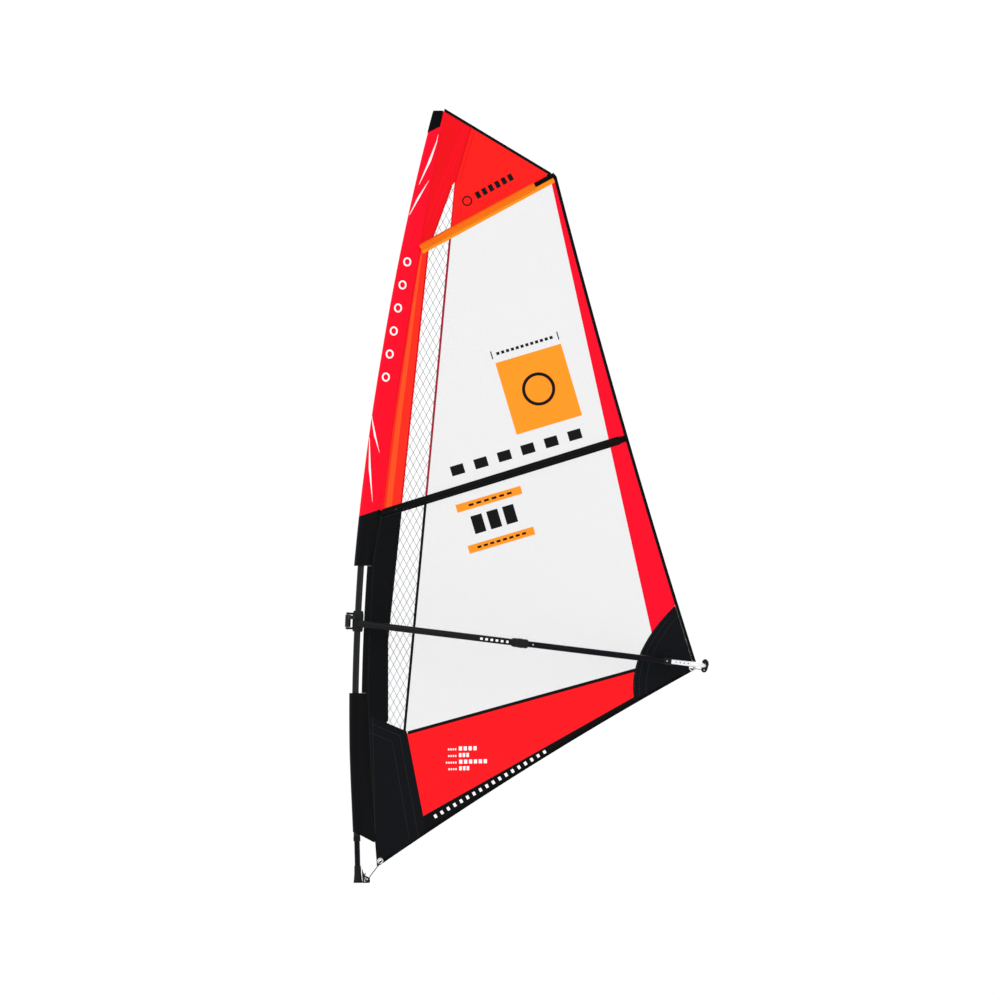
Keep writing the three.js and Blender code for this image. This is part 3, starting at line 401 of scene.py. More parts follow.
def slab(x, y, z, thickness):
    """Vertices and faces of a closed sheet given a thickness about the grid (x, y, z)."""
    rows, columns = x.shape
    front = np.stack([x, y - thickness / 2, z], -1).reshape(-1, 3)
    back = np.stack([x, y + thickness / 2, z], -1).reshape(-1, 3)
    at = np.arange(rows * columns).reshape(rows, columns)
    cells = np.stack([at[:-1, :-1], at[:-1, 1:], at[1:, 1:], at[1:, :-1]], -1).reshape(-1, 4)
    rim = np.concatenate([at[0, :-1], at[:-1, -1], at[-1, :0:-1], at[:0:-1, 0]])
    after = np.roll(rim, -1)
    count = rows * columns
    sides = np.stack([rim, rim + count, after + count, after], -1)
    return np.vstack([front, back]), np.vstack([cells, cells[:, ::-1] + count, sides]).tolist()


class Batch:
    """Collects closed shapes that become one piece, such as a row of stitches."""

    def __init__(self):
        self.verts, self.faces, self.count = [], [], 0

    def add(self, verts, faces):
        self.verts.append(np.asarray(verts))
        self.faces += [[i + self.count for i in face] for face in faces]
        self.count += len(verts)

    def make(self, name, material, body):
        piece(name, np.vstack(self.verts), self.faces, material, body)


def corner(x_of_z, z_of_x, z):
    """Where an edge x(z) meets an edge z(x)."""
    for _ in range(60):
        z = z + 0.7 * (z_of_x(x_of_z(z)) - z)
    return float(x_of_z(z)), float(z)


def mix(a, b, t):
    """The value a share t of the way from a to b."""
    return a + (b - a) * t


def grid_between(left, right, bottom, top, start_z=2.0):
    """A grid of (x, z) points between two edges x(z) and two edges z(x)."""
    lb, rb = corner(left, bottom, start_z), corner(right, bottom, start_z)
    lt, rt = corner(left, top, start_z), corner(right, top, start_z)
    columns = max(2, math.ceil(max(rb[0] - lb[0], rt[0] - lt[0]) / CLOTH_CELL))
    rows = max(2, math.ceil(max(lt[1] - lb[1], rt[1] - rb[1]) / CLOTH_CELL))
    u, v = np.meshgrid(np.linspace(0, 1, columns + 1), np.linspace(0, 1, rows + 1))
    z_left, z_right = mix(lb[1], lt[1], v), mix(rb[1], rt[1], v)
    x_low, x_high = mix(lb[0], rb[0], u), mix(lt[0], rt[0], u)
    return mix(left(z_left), right(z_right), u), mix(bottom(x_low), top(x_high), v)


def sheet(name, material, node, thickness=CLOTH, **edges):
    """A panel of cloth or film on the sail's surface."""
    x, z = grid_between(**edges)
    return piece(name, *slab(x, surface(x, z), z, thickness), material, "rig", node)


def dense(path, step):
    """The points of a polyline, with more added so that none are further apart than a step."""
    path = np.asarray(path, float)
    rows = [path[:1]]
    for a, b in zip(path[:-1], path[1:]):
        count = max(1, math.ceil(np.linalg.norm(b - a) / step))
        rows.append(a + (b - a) * (np.arange(1, count + 1) / count)[:, None])
    return np.vstack(rows)


def normals(path):
    """Unit vectors across a path of (x, z) points."""
    along = np.gradient(path, axis=0)
    along /= np.linalg.norm(along, axis=1)[:, None] + 1e-12
    return np.stack([-along[:, 1], along[:, 0]], -1)


def ribbon(path, width, thickness, lift=0.0, on=surface, step=0.02, across=1):
    """A flat strip of a width, or of several along it, on the sail along a path of (x, z) points."""
    path = dense(path, step)
    normal = normals(path)
    given = np.atleast_1d(np.asarray(width, float))
    widths = np.interp(np.linspace(0, 1, len(path)), np.linspace(0, 1, len(given)), given)
    offsets = np.linspace(-0.5, 0.5, across + 1)
    x = path[:, :1] + normal[:, :1] * widths[:, None] * offsets
    z = path[:, 1:] + normal[:, 1:] * widths[:, None] * offsets
    return slab(x.T, (on(x, z) + lift).T, z.T, thickness)


def along_x(edge, x0, x1, count=40):
    """Points of an edge z(x) between two stations."""
    x = np.linspace(x0, x1, count)
    return np.stack([x, edge(x) + 0 * x], -1)


def along_z(edge, z0, z1, count=60):
    """Points of an edge x(z) between two heights."""
    z = np.linspace(z0, z1, count)
    return np.stack([edge(z) + 0 * z, z], -1)


def spline(points, count):
    """Evenly spaced points on a centripetal Catmull-Rom curve through the given ones."""
    p = np.array(points, float)
    p = np.vstack([2 * p[0] - p[1], p, 2 * p[-1] - p[-2]])
    runs_made = []
    for i in range(1, len(p) - 2):
        tier = list(p[i - 1:i + 3])
        steps = np.sqrt(np.linalg.norm(np.diff(p[i - 1:i + 3], axis=0), axis=1))
        knot = np.concatenate([[0], np.cumsum(steps)])
        t = np.linspace(knot[1], knot[2], 30, endpoint=False)[:, None]
        for span in ([(0, 1), (1, 2), (2, 3)], [(0, 2), (1, 3)], [(1, 2)]):
            tier = [
                mix(tier[k], tier[k + 1], (t - knot[a]) / (knot[b] - knot[a]))
                for k, (a, b) in enumerate(span)
            ]
        runs_made.append(tier[0])
    curve = np.vstack(runs_made + [p[-2:-1]])
    length = np.concatenate([[0], np.cumsum(np.linalg.norm(np.diff(curve, axis=0), axis=1))])
    even = np.linspace(0, length[-1], count)
    return np.stack([np.interp(even, length, curve[:, k]) for k in range(curve.shape[1])], -1)


def frames(path):
    """Two unit vectors across a path at each of its points, turning as little as possible."""
    along = np.gradient(path, axis=0)
    along /= np.linalg.norm(along, axis=1)[:, None]
    side = np.cross(along[0], [0, 1, 0] if abs(along[0][1]) < 0.9 else [1, 0, 0])
    sides = []
    for t in along:
        side = side - t * (side @ t)
        side /= np.linalg.norm(side)
        sides.append(side)
    sides = np.array(sides)
    return sides, np.cross(along, sides)


def sweep(path, radius, bore=0.0, segments=32):
    """A round rod or, with a bore, a tube along a path, with a radius for each point."""
    path = np.asarray(path, float)
    side, other = frames(path)
    angle = np.linspace(0, 2 * np.pi, segments, endpoint=False)
    ring = side[:, None] * np.cos(angle)[None, :, None] + other[:, None] * np.sin(angle)[None, :, None]
    radius = np.broadcast_to(np.asarray(radius, float), len(path))
    outer = (path[:, None] + ring * radius[:, None, None]).reshape(-1, 3)
    faces, count, last = [], segments, len(path) - 1
    wrap = lambda row, k, base=0: base + row * count + k % count
    for i in range(last):
        faces += [[wrap(i, k), wrap(i, k + 1), wrap(i + 1, k + 1), wrap(i + 1, k)] for k in range(count)]
    if not bore:
        faces += [list(range(count))[::-1], [wrap(last, k) for k in range(count)]]
        return outer, faces
    inner = (path[:, None] + ring * bore).reshape(-1, 3)
    base = len(outer)
    for i in range(last):
        for k in range(count):
            near, far = wrap(i, k, base), wrap(i, k + 1, base)
            faces.append([near, near + count, far + count, far])
    for k in range(count):
        faces.append([wrap(0, k, base), wrap(0, k + 1, base), wrap(0, k + 1), wrap(0, k)])
        faces.append([wrap(last, k), wrap(last, k + 1), wrap(last, k + 1, base), wrap(last, k, base)])
    return np.vstack([outer, inner]), faces


def turned(outline, segments=48):
    """A round body about +Z from (radius, height) points, which run from axis to axis or close a ring."""
    closed = outline[0] == outline[-1]
    rows = outline[:-1] if closed else outline
    angle = np.linspace(0, 2 * np.pi, segments, endpoint=False)
    verts, starts = [], []
    for r, h in rows:
        starts.append((len(verts), r < 1e-9))
        verts += [(0, 0, h)] if r < 1e-9 else [(r * math.cos(a), r * math.sin(a), h) for a in angle]
    faces = []
    pairs = list(zip(starts, starts[1:] + ([starts[0]] if closed else [])))
    for (a, a_point), (b, b_point) in pairs[:len(rows) if closed else len(rows) - 1]:
        for k in range(segments):
            k2 = (k + 1) % segments
            face = ([a] if a_point else [a + k, a + k2]) + ([b] if b_point else [b + k2, b + k])
            if len(face) > 2:
                faces.append(face)
    return np.array(verts), faces


def placed(shape, matrix):
    """A shape's vertices moved by a matrix."""
    verts, faces = shape
    return [matrix @ Vector(v) for v in verts], faces


def round_over(r, low, high, soft=0.0012):
    """A closed outline of a solid disc whose rims are rounded over."""
    return [
        (0, low), (r - soft, low), (r - soft * 0.3, low + soft * 0.3), (r, low + soft),
        (r, high - soft), (r - soft * 0.3, high - soft * 0.3), (r - soft, high), (0, high),
    ]


def middle_of(node):
    """The centre of a CAD node's box."""
    low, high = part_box(node)
    return (low + high) / 2


ACROSS = Matrix.Rotation(-math.pi / 2, 4, "X")  # turns +Z to +Y


def outward(side):
    """Turns +Z away from the middle plane, to port (-1) or starboard (1)."""
    return ACROSS if side > 0 else Matrix.Rotation(math.pi / 2, 4, "X")


# ---------------------------------------------------------------- luff sleeve

SLEEVE_SEGMENTS = 56
SLEEVE_WALL = 0.035  # the cloth's thickness, as a share of the section
SEAM_GAP = 0.0012
level = lambda height: (lambda x: height + 0 * x)
plumb = lambda station: (lambda z: station + 0 * z)


def sleeve_section(angle, front, aft):
    """The teardrop section's offsets from the mast's centre line at an angle."""
    c, s = np.cos(angle), np.sin(angle)
    dx = np.where(c < 0, front * c, aft * c)
    dy = np.where(c < 0, front * s, front * np.sign(s) * s * s)
    return dx, dy


def sleeve_port(x, z):
    """The y of the sleeve's port face."""
    dx = x - mast_x(z)
    fore = np.clip(-dx / sleeve_front(z), 0, 1)
    rear = np.clip(dx / sleeve_aft(z), 0, 1)
    half = sleeve_front(z) * np.where(dx < 0, np.sqrt(1 - fore ** 2), 1 - rear ** 2)
    return camber(x, z) - half


def sleeve(name, material, node, bottom, top, fullness):
    """A cloth tube round the mast, drawn in a little by tension creases."""
    z_low, z_high = bottom(mast_x(bottom(0.2))), top(mast_x(top(0.2)))
    rows = max(3, math.ceil((z_high - z_low) / 0.012))
    angle = np.linspace(0, 2 * np.pi, SLEEVE_SEGMENTS, endpoint=False)[None, :]
    run = np.linspace(0, 1, rows + 1)[:, None]
    z0 = mix(z_low, z_high, run) + 0 * angle
    slack = np.sin(z0 * 41 + 3 * np.sin(angle + z0 * 6)) + 0.6 * np.sin(z0 * 97 + 2 * angle)
    pull = 1 + fullness * slack
    dx, dy = sleeve_section(angle, sleeve_front(z0), sleeve_aft(z0) - SEAM_GAP)
    guess = mast_x(z0) + dx
    z = mix(bottom(guess), top(guess), run)
    x = mast_x(z) + dx
    y = dy * pull + camber(x, z)
    outer = np.stack([x, y, z], -1)
    inner = outer - SLEEVE_WALL * np.stack([dx, dy, 0 * z], -1)
    count, rings = SLEEVE_SEGMENTS, rows + 1
    verts = np.vstack([outer.reshape(-1, 3), inner.reshape(-1, 3)])
    at = np.arange(rings * count).reshape(rings, count)
    nxt = np.roll(at, -1, 1)
    base = rings * count
    skin = np.stack([at[:-1], nxt[:-1], nxt[1:], at[1:]], -1).reshape(-1, 4)
    lining = skin[:, ::-1] + base
    low = np.stack([at[0], at[0] + base, nxt[0] + base, nxt[0]], -1)
    high = np.stack([at[-1], nxt[-1], nxt[-1] + base, at[-1] + base], -1)
    faces = np.vstack([skin, lining, low, high]).tolist()
    return piece(name, verts, faces, material, "rig", node, sharp=math.radians(75))


sleeve("sleeve_upper", "red_cloth", "luff_sleeve_upper",
       sleeve_break, shifted(cap_hem, 0.003), 0.006)
sleeve("sleeve_middle", "black_cloth", "luff_sleeve_middle",
       level(CUTOUT_TOP), sleeve_break, 0.01)
sleeve("sleeve_lower", "black_cloth", "luff_sleeve_lower",
       sleeve_hem, level(CUTOUT_LOW), 0.01)
sheet("cutout_strip_cloth", "black_cloth", "cutout_strip", thickness=0.0018,
      left=shifted(mast_x, CUTOUT_EDGE), right=seam_x,
      bottom=level(CUTOUT_LOW + 0.0004), top=level(CUTOUT_TOP - 0.0004))

# ---------------------------------------------------------------- sail panels

cloth_top = shifted(head_z, -TAPE)
cloth_leech = shifted(leech_x, -TAPE)
window_foot = lambda x: np.where(x < 0.267, np.maximum(tack_top(x), foot_seam(x)), foot_seam(x))
window_right = lambda z: np.minimum(clew_arc(np.maximum(z, BOW_Z)), leech_fore(z))

# The cloth between the luff and the scrim changes colour where the top batten crosses it.
sheet("luff_panel_top_cloth", "dark_red_cloth", "luff_panel_upper",
      left=seam_x, right=luff_aft, bottom=top_batten, top=cloth_top, start_z=3.6)
sheet("luff_panel_main_cloth", "orange_red_cloth", None,
      left=seam_x, right=luff_aft, bottom=mid_batten, top=top_batten, start_z=2.6)
sheet("luff_panel_lower_cloth", "black_cloth", "luff_panel_lower",
      left=seam_x, right=luff_aft, bottom=tack_top, top=mid_batten)
sheet("scrim_film_sheet", "scrim_film", "scrim", thickness=0.0004,
      left=luff_aft, right=scrim_aft, bottom=tack_top, top=level(SCRIM_TOP))
sheet("head_panel_cloth", "head_red_cloth", "head_panel",
      left=lambda z: np.where(z < SEAM_FOOT[0], scrim_aft(z), head_seam(z)), right=plumb(1.030),
      bottom=top_batten, top=cloth_top, start_z=3.7)
sheet("window_upper_film", "clear_film", "window_upper", thickness=0.0003,
      left=scrim_aft, right=leech_fore, bottom=mid_batten, top=top_batten)
sheet("window_lower_film", "clear_film", "window_lower", thickness=0.0003,
      left=scrim_aft, right=window_right, bottom=window_foot, top=mid_batten)
sheet("leech_panel_cloth", "red_cloth", "leech_panel",
      left=leech_fore, right=cloth_leech, bottom=clew_arc_top, top=top_batten)
sheet("foot_panel_cloth", "foot_red_cloth", "foot_panel",
      left=tack_aft, right=clew_arc, bottom=foot_band, top=foot_seam, start_z=0.9)
sheet("foot_band_cloth", "black_cloth", "foot_band",
      left=tack_aft, right=clew_arc, bottom=foot_z, top=foot_band, start_z=0.7)

# ---------------------------------------------------------------- corner patches, rings and edge tapes

TACK_RING = middle_of("tack_ring")
CLEW_RING = middle_of("clew_ring")
RING_HOLE = 0.0126
PATCH = 0.0018
PATCH_LOW, PATCH_HIGH = 0.982, 1.508  # where the clew patch's bow meets the foot and the leech


def cut_hole(obj, centre, radius, reach=0.03):
    """Cuts a round hole along Y through a piece."""
    verts, faces = placed(turned(round_over(radius, -reach, reach)), Matrix.Translation(centre) @ ACROSS)
    mesh = bpy.data.meshes.new("cutter")
    mesh.from_pydata(verts, [], faces)
    cutter = bpy.data.objects.new("cutter", mesh)
    bpy.context.scene.collection.objects.link(cutter)
    modifier = obj.modifiers.new("hole", "BOOLEAN")
    modifier.operation = "DIFFERENCE"
    modifier.solver = "EXACT"
    modifier.object = cutter
    graph = bpy.context.evaluated_depsgraph_get()
    holed = bpy.data.meshes.new_from_object(obj.evaluated_get(graph))
    obj.modifiers.clear()
    obj.data = holed
    bpy.data.objects.remove(cutter)


tack_cloth = sheet("tack_patch_cloth", "patch_cloth", "tack_patch", thickness=PATCH,
                   left=lambda z: np.where(z > 0.22, seam_x(z), tack_front(z)), right=tack_aft,
                   bottom=foot_z, top=tack_top, start_z=0.3)
cut_hole(tack_cloth, TACK_RING, RING_HOLE)


def clew_grid():
    """Points of the clew patch, between its bow and the leech and foot."""
    v = np.linspace(0, 1, 45)[:, None]
    bow_z = mix(PATCH_LOW, PATCH_HIGH, v)
    low_x = mix(clew_arc(PATCH_LOW), CLEW[0] - 0.0006, np.clip(v * 2, 0, 1))
    high_z = mix(CLEW[1], PATCH_HIGH, np.clip(v * 2 - 1, 0, 1))
    edge_x = np.where(v < 0.5, low_x, cloth_leech(high_z) - 0.0003)
    edge_z = np.where(v < 0.5, foot_z(low_x), high_z)
    u = np.linspace(0, 1, 25)[None, :]
    return mix(clew_arc(bow_z), edge_x, u), mix(bow_z, edge_z, u)


clew_x, clew_z = clew_grid()
clew_cloth = piece("clew_patch_cloth", *slab(clew_x, surface(clew_x, clew_z), clew_z, PATCH),
                   "patch_cloth", "rig", "clew_patch")
cut_hole(clew_cloth, CLEW_RING, RING_HOLE)

RING_LIP = [
    (0.0125, 0.002), (0.0165, 0.0021), (0.0172, 0.0027), (0.0168, 0.0038), (0.0150, 0.0044),
    (0.0120, 0.0045), (0.0100, 0.0040), (0.0090, 0.0028),
]
below = [(r, -h) for r, h in RING_LIP]
RING_OUTLINE = below[:1] + RING_LIP + [(0.0086, 0)] + below[::-1]
for name, centre in (("tack", TACK_RING), ("clew", CLEW_RING)):
    ring = placed(turned(RING_OUTLINE, 64), Matrix.Translation(centre) @ ACROSS)
    piece(name + "_ring_pressed", *ring, "stainless_steel", "rig", name + "_ring")

sheet("head_tape_webbing", "black_webbing", "head_tape", thickness=0.0022,
      left=seam_x, right=plumb(1.050), bottom=cloth_top, top=head_z, start_z=4.0)
sheet("leech_tape_webbing", "black_webbing", "leech_tape", thickness=0.0024,
      left=cloth_leech, right=leech_x, bottom=level(CLEW[1] + 0.004), top=head_z)
sheet("head_corner_patch", "black_webbing", None, thickness=0.0020,
      left=plumb(1.0305), right=cloth_leech, bottom=shifted(top_batten, -0.020), top=cloth_top,
      start_z=3.85)


def tape(name, material, paths, width, thickness=0.0016, lift=0.0, step=0.02):
    """Strips through the sail that stand out of both faces, one piece for a set of paths."""
    batch = Batch()
    for path in paths:
        batch.add(*ribbon(path, width, thickness, lift, step=step))
    batch.make(name, material, "rig")


MID_ON_LUFF = corner(luff_aft, mid_batten, 2.1)[1]
TOP_ON_SCRIM = corner(scrim_aft, top_batten, 3.5)[1]
MID_ON_SCRIM = corner(scrim_aft, mid_batten, 2.1)[1]
tape("scrim_seam_tape_upper", "seam_red", [along_z(scrim_aft, MID_ON_SCRIM, TOP_ON_SCRIM)], 0.012)
tape("head_seam_tape", "dark_red_cloth", [
    along_z(scrim_aft, TOP_ON_SCRIM, SEAM_FOOT[0], 12), along_z(head_seam, SEAM_FOOT[0], 4.128, 16),
], 0.007)
tape("scrim_seam_tape_lower", "black_webbing", [
    along_z(scrim_aft, 0.83, MID_ON_SCRIM), along_z(luff_aft, 0.88, MID_ON_LUFF),
], 0.014)
tape("luff_seam_tape_upper", "edge_red", [along_z(luff_aft, MID_ON_LUFF, 3.80)], 0.009)
tape("window_foot_tape", "black_webbing", [along_x(foot_seam, 0.272, 1.512)], 0.017)
tape("leech_window_tape", "red_cloth", [along_z(leech_fore, 1.352, 3.81)], 0.006)
tape("foot_hem_tape", "black_webbing", [along_x(shifted(foot_z, 0.009), 0.118, 1.838, 90)],
     0.017, 0.0034)
# Down the luff panel, a lighter orange band is painted highlight, and a darker red strip just aft of the seam is
# painted shade.
highlight_line = lambda z: mix(seam_x(z), luff_aft(z), 0.38)
tape("luff_panel_highlight", "highlight_orange_cloth", [along_z(highlight_line, 2.045, 3.47)],
     (0.032, 0.024, 0.010), 0.0012)
tape("luff_panel_shade", "dark_red_cloth", [along_z(shifted(seam_x, 0.010), 2.045, 3.47)],
     (0.004, 0.008, 0.012), 0.0014)
tape("luff_tape_upper", "red_cloth", [along_z(seam_x, 2.030, 4.206, 90)], 0.011, 0.0030)
tape("luff_tape_lower", "black_cloth", [along_z(seam_x, 0.224, 2.030, 90)], 0.011, 0.0030)


def fold(inset):
    """A fold down the top of the luff panel, a distance before its aft edge."""
    return line((3.62, float(luff_aft(3.62)) - inset), (4.10, float(head_seam(4.10)) - inset * 0.6))


# The folds are lighter red strips on the darker panel: painted highlight along each fold.
tape("luff_panel_fold_highlights", "red_cloth",
     [along_z(fold(0.034), 3.62, 4.12), along_z(fold(0.062), 3.60, 4.13)], 0.006, 0.0012)

# ---------------------------------------------------------------- stitching


def zigzag(path, swing, pitch):
    """Turns a path into a zigzag of a half width and a pitch along it."""
    path = dense(path, pitch / 2)
    swings = swing * np.where(np.arange(len(path)) % 2 == 0, 1, -1)
    return path + normals(path) * swings[:, None]


def stitches(name, material, paths, swing=0.0028, pitch=0.009, width=0.0011, thickness=0.0032):
    """Rows of zigzag stitching that shows on both faces."""
    rows = [zigzag(path, swing, pitch) for path in paths]
    tape(name, material, rows, width, thickness, step=1.0)


stitches("stitching_red", "red_thread", [
    along_z(leech_fore, 1.40, 3.79), along_z(luff_aft, MID_ON_LUFF + 0.05, 3.79),
    along_z(scrim_aft, TOP_ON_SCRIM + 0.03, 3.80), along_z(head_seam, 3.82, 4.12),
    along_z(shifted(head_seam, 0.022), 3.82, 4.10), along_z(shifted(seam_x, 0.006), 2.09, 4.10),
])
stitches("stitching_grey", "grey_thread", [
    along_z(scrim_aft, 0.84, MID_ON_SCRIM), along_z(luff_aft, 0.90, MID_ON_LUFF),
    along_z(shifted(seam_x, 0.006), 0.30, 2.03), along_x(foot_seam, 0.29, 1.50),
    along_x(foot_band, 0.37, 1.49), along_x(shifted(foot_z, 0.014), 0.13, 1.83, 90),
    along_x(shifted(head_z, -0.014), 0.49, 1.04), along_z(shifted(leech_x, -0.013), 1.20, 3.83),
])

# Close, narrow stitching that holds the layers of the corner patches together.
patch_rows = []
for inset in (0.007, 0.032, 0.068):
    bow_z = np.linspace(1.02, 1.46, 40)
    bow_x = clew_arc(bow_z) + inset * 1.05
    inside = (bow_z > foot_z(bow_x) + 0.012) & (bow_x < cloth_leech(bow_z) - 0.006)
    patch_rows.append(np.stack([bow_x, bow_z], -1)[inside])
TACK_LAYERS = (
    [(0.069, 0.870), (0.227, 0.801), (0.330, 0.251)],
    [(0.065, 0.821), (0.188, 0.767), (0.280, 0.240)],
    [(0.080, 0.905), (0.093, 0.240)],
)
patch_rows += [np.array(rows) for rows in TACK_LAYERS]
stitches("patch_stitching", "grey_thread", patch_rows,
         swing=0.0006, pitch=0.012, width=0.0014, thickness=0.0036)

# ---------------------------------------------------------------- scrim threads

DIAMOND_HEIGHT = 0.068
DIAMOND_SLOPE = 1.9
threads = Batch()
for slope in (DIAMOND_SLOPE, -DIAMOND_SLOPE):
    for start in np.arange(0.0, 4.6, DIAMOND_HEIGHT):
        x = np.linspace(0.14, 0.56, 260)
        z = start + slope * (x - x[0])
        inside = (x > luff_aft(z)) & (x < scrim_aft(z)) & (z > tack_top(x)) & (z > 0.83) & (z < SCRIM_TOP)
        if inside.sum() > 4:
            run = np.stack([x[inside], z[inside]], -1)
            threads.add(*ribbon(run[[0, len(run) // 2, -1]], 0.0028, 0.0012, step=0.03))
threads.make("scrim_threads", "scrim_thread", "rig")

# ---------------------------------------------------------------- batten pockets

RIDGE_EDGE = 0.0175
RIDGE_SLOPE = 0.0108
POCKET_BULGE = 0.0142
END_BULGE = 0.0146
POCKET_TONE = -0.0105  # where the top pocket turns from deep to light orange


def pocket(name, material, middle, low, high, x0, x1, bulge, node=None):
    """A strip of pocket on the port face between two offsets from the batten, with a ridge over it."""
    x_mid = np.linspace(x0, x1, max(4, math.ceil((x1 - x0) / 0.015)))
    slope = math.atan2(middle(x1) - middle(x0), x1 - x0)
    off = np.linspace(low, high, max(6, math.ceil((high - low) / 0.0024)))[:, None]
    x = x_mid[None, :] - off * math.sin(slope)
    z = middle(x_mid)[None, :] + off * math.cos(slope)
    ridge = smooth((RIDGE_EDGE - np.abs(off)) / RIDGE_SLOPE)
    puckers = 1 + 0.03 * np.sin(x * 160 + 4 * np.sin(x * 23))
    y = mix(surface(x, z), camber(x, z), ridge)
    front = y - 0.0010 - bulge * ridge * puckers
    back = y - 0.0006
    verts, faces = slab(x, back, z, 0)
    verts[:len(verts) // 2, 1] = front.reshape(-1)
    return piece(name, verts, faces, material, "rig", node)


def leech_at(middle, back=0.0):
    """The station where a batten's line comes within a distance of the leech."""
    return corner(shifted(leech_x, -back), middle, 3.0)[0]


TOP_START = corner(shifted(seam_x, 0.008), top_batten, 3.5)[0]
MID_START = corner(shifted(seam_x, 0.008), mid_batten, 2.0)[0]
TOP_WINDOW = corner(luff_aft, top_batten, 3.5)[0]
pocket("top_pocket_fore", "orange_cloth", top_batten, POCKET_TONE, 0.019,
       TOP_START, TOP_WINDOW, POCKET_BULGE)
pocket("top_pocket_middle", "orange_cloth", top_batten, POCKET_TONE, 0.019,
       TOP_WINDOW + 0.0005, 0.964, POCKET_BULGE, "top_batten_pocket")
pocket("top_pocket_lower", "light_orange_cloth", top_batten, -0.036, POCKET_TONE - 0.0002,
       TOP_START, 1.058, POCKET_BULGE)
pocket("top_pocket_end", "black_webbing", top_batten, POCKET_TONE, 0.0135,
       0.9645, leech_at(top_batten, 0.008), END_BULGE)
pocket("middle_pocket", "black_cloth", mid_batten, -0.023, 0.023,
       MID_START, leech_at(mid_batten, 0.052), POCKET_BULGE, "middle_batten_pocket")
pocket("middle_pocket_end", "black_webbing", mid_batten, -0.0172, 0.0172,
       leech_at(mid_batten, 0.0515), leech_at(mid_batten, 0.004), END_BULGE)

tape("middle_batten_tape", "black_cloth",
     [along_x(mid_batten, MID_START, leech_at(mid_batten, 0.052))], 0.046, 0.0006, 0.0008)
tape("top_batten_tape", "light_orange_cloth",
     [along_x(top_batten, TOP_START, leech_at(top_batten, 0.020))], 0.040, 0.0006, 0.0008)


def pocket_seams(middle, half_width, x0, x1):
    """Paths just inside both long edges of a pocket."""
    x = np.linspace(x0, x1, 60)
    slope = math.atan2(middle(x1) - middle(x0), x1 - x0)
    dx, dz = half_width * math.sin(slope), half_width * math.cos(slope)
    return [np.stack([x - side * dx, middle(x) + side * dz], -1) for side in (-1, 1)]


pocket_rows = pocket_seams(top_batten, 0.0175, TOP_START, 0.96)
pocket_rows += pocket_seams(mid_batten, 0.0215, MID_START, 1.44)
stitches("pocket_stitching", "grey_thread", pocket_rows,
         swing=0.0008, pitch=0.010, width=0.0010, thickness=0.0042)

# ---------------------------------------------------------------- plain printed marks

MARK_ORIGIN = np.array([0.8649, 2.4427])
MARK_ANGLE = math.radians(16.6)
PRINT = 0.0004
PRINT_LIFT = -0.0008
OVERPRINT_LIFT = PRINT_LIFT * 1.8


def oriented(points, origin, angle):
    """Points given along and across a slanted line, as (x, z)."""
    along, across = np.asarray(points, float).T
    c, s = math.cos(angle), math.sin(angle)
    return origin + np.stack([along * c - across * s, along * s + across * c], -1)


def bars(name, material, boxes, origin=MARK_ORIGIN, angle=MARK_ANGLE, lift=PRINT_LIFT):
    """Flat printed bars: (from, to, low, high) along and across a slanted line."""
    batch = Batch()
    for a0, a1, b0, b1 in boxes:
        middle = oriented([(a0, (b0 + b1) / 2), (a1, (b0 + b1) / 2)], origin, angle)
        batch.add(*ribbon(middle, b1 - b0, PRINT, lift, across=max(1, round((b1 - b0) / 0.03))))
    batch.make(name, material, "rig")


def row_of(count, start, end, low, high, fill=0.62):
    """Evenly spaced short bars in a row."""
    step = (end - start) / count
    return [(start + step * k, start + step * (k + fill), low, high) for k in range(count)]


def oval(x, z, wide, high, count):
    """Points round an oval with the given half width and half height."""
    turn = np.linspace(0, 2 * np.pi, count)
    return np.stack([x + wide * np.cos(turn), z + high * np.sin(turn)], -1)


def ring_mark(name, centre, radius, width):
    """A black printed ring, over any other print."""
    path = oval(*centre, radius, radius, 65)
    piece(name, *ribbon(path, width, PRINT, OVERPRINT_LIFT), "graphic_black", "rig")


bars("printed_square", "graphic_orange", [(0, 0.3725, 0, 0.407)])
ring_mark("printed_ring", oriented([(0.186, 0.205)], MARK_ORIGIN, MARK_ANGLE)[0], 0.082, 0.017)
bars("printed_row_large", "graphic_black", row_of(6, -0.40, 0.40, -0.118, -0.064, 0.55))
bars("printed_row_small", "graphic_black",
     row_of(12, 0.02, 0.35, 0.446, 0.462)
     + [(-0.010, -0.004, 0.432, 0.476), (0.366, 0.372, 0.432, 0.476)])
bars("printed_bands", "graphic_orange",
     [(-0.43, -0.061, -0.316, -0.272), (-0.43, -0.057, -0.549, -0.505)])
bars("printed_band_marks", "graphic_black",
     row_of(6, -0.36, -0.10, -0.300, -0.288) + row_of(8, -0.38, -0.09, -0.533, -0.521),
     lift=OVERPRINT_LIFT)
bars("printed_blocks", "graphic_black", row_of(3, -0.37, -0.10, -0.455, -0.355, 0.7))
HEAD_MARK = np.array([0.585, 3.695])
bars("printed_head_row", "graphic_black", row_of(6, 0.075, 0.315, -0.004, 0.034),
     HEAD_MARK, math.radians(28.5))
ring_mark("printed_head_ring", HEAD_MARK + [0.010, 0.022], 0.024, 0.007)
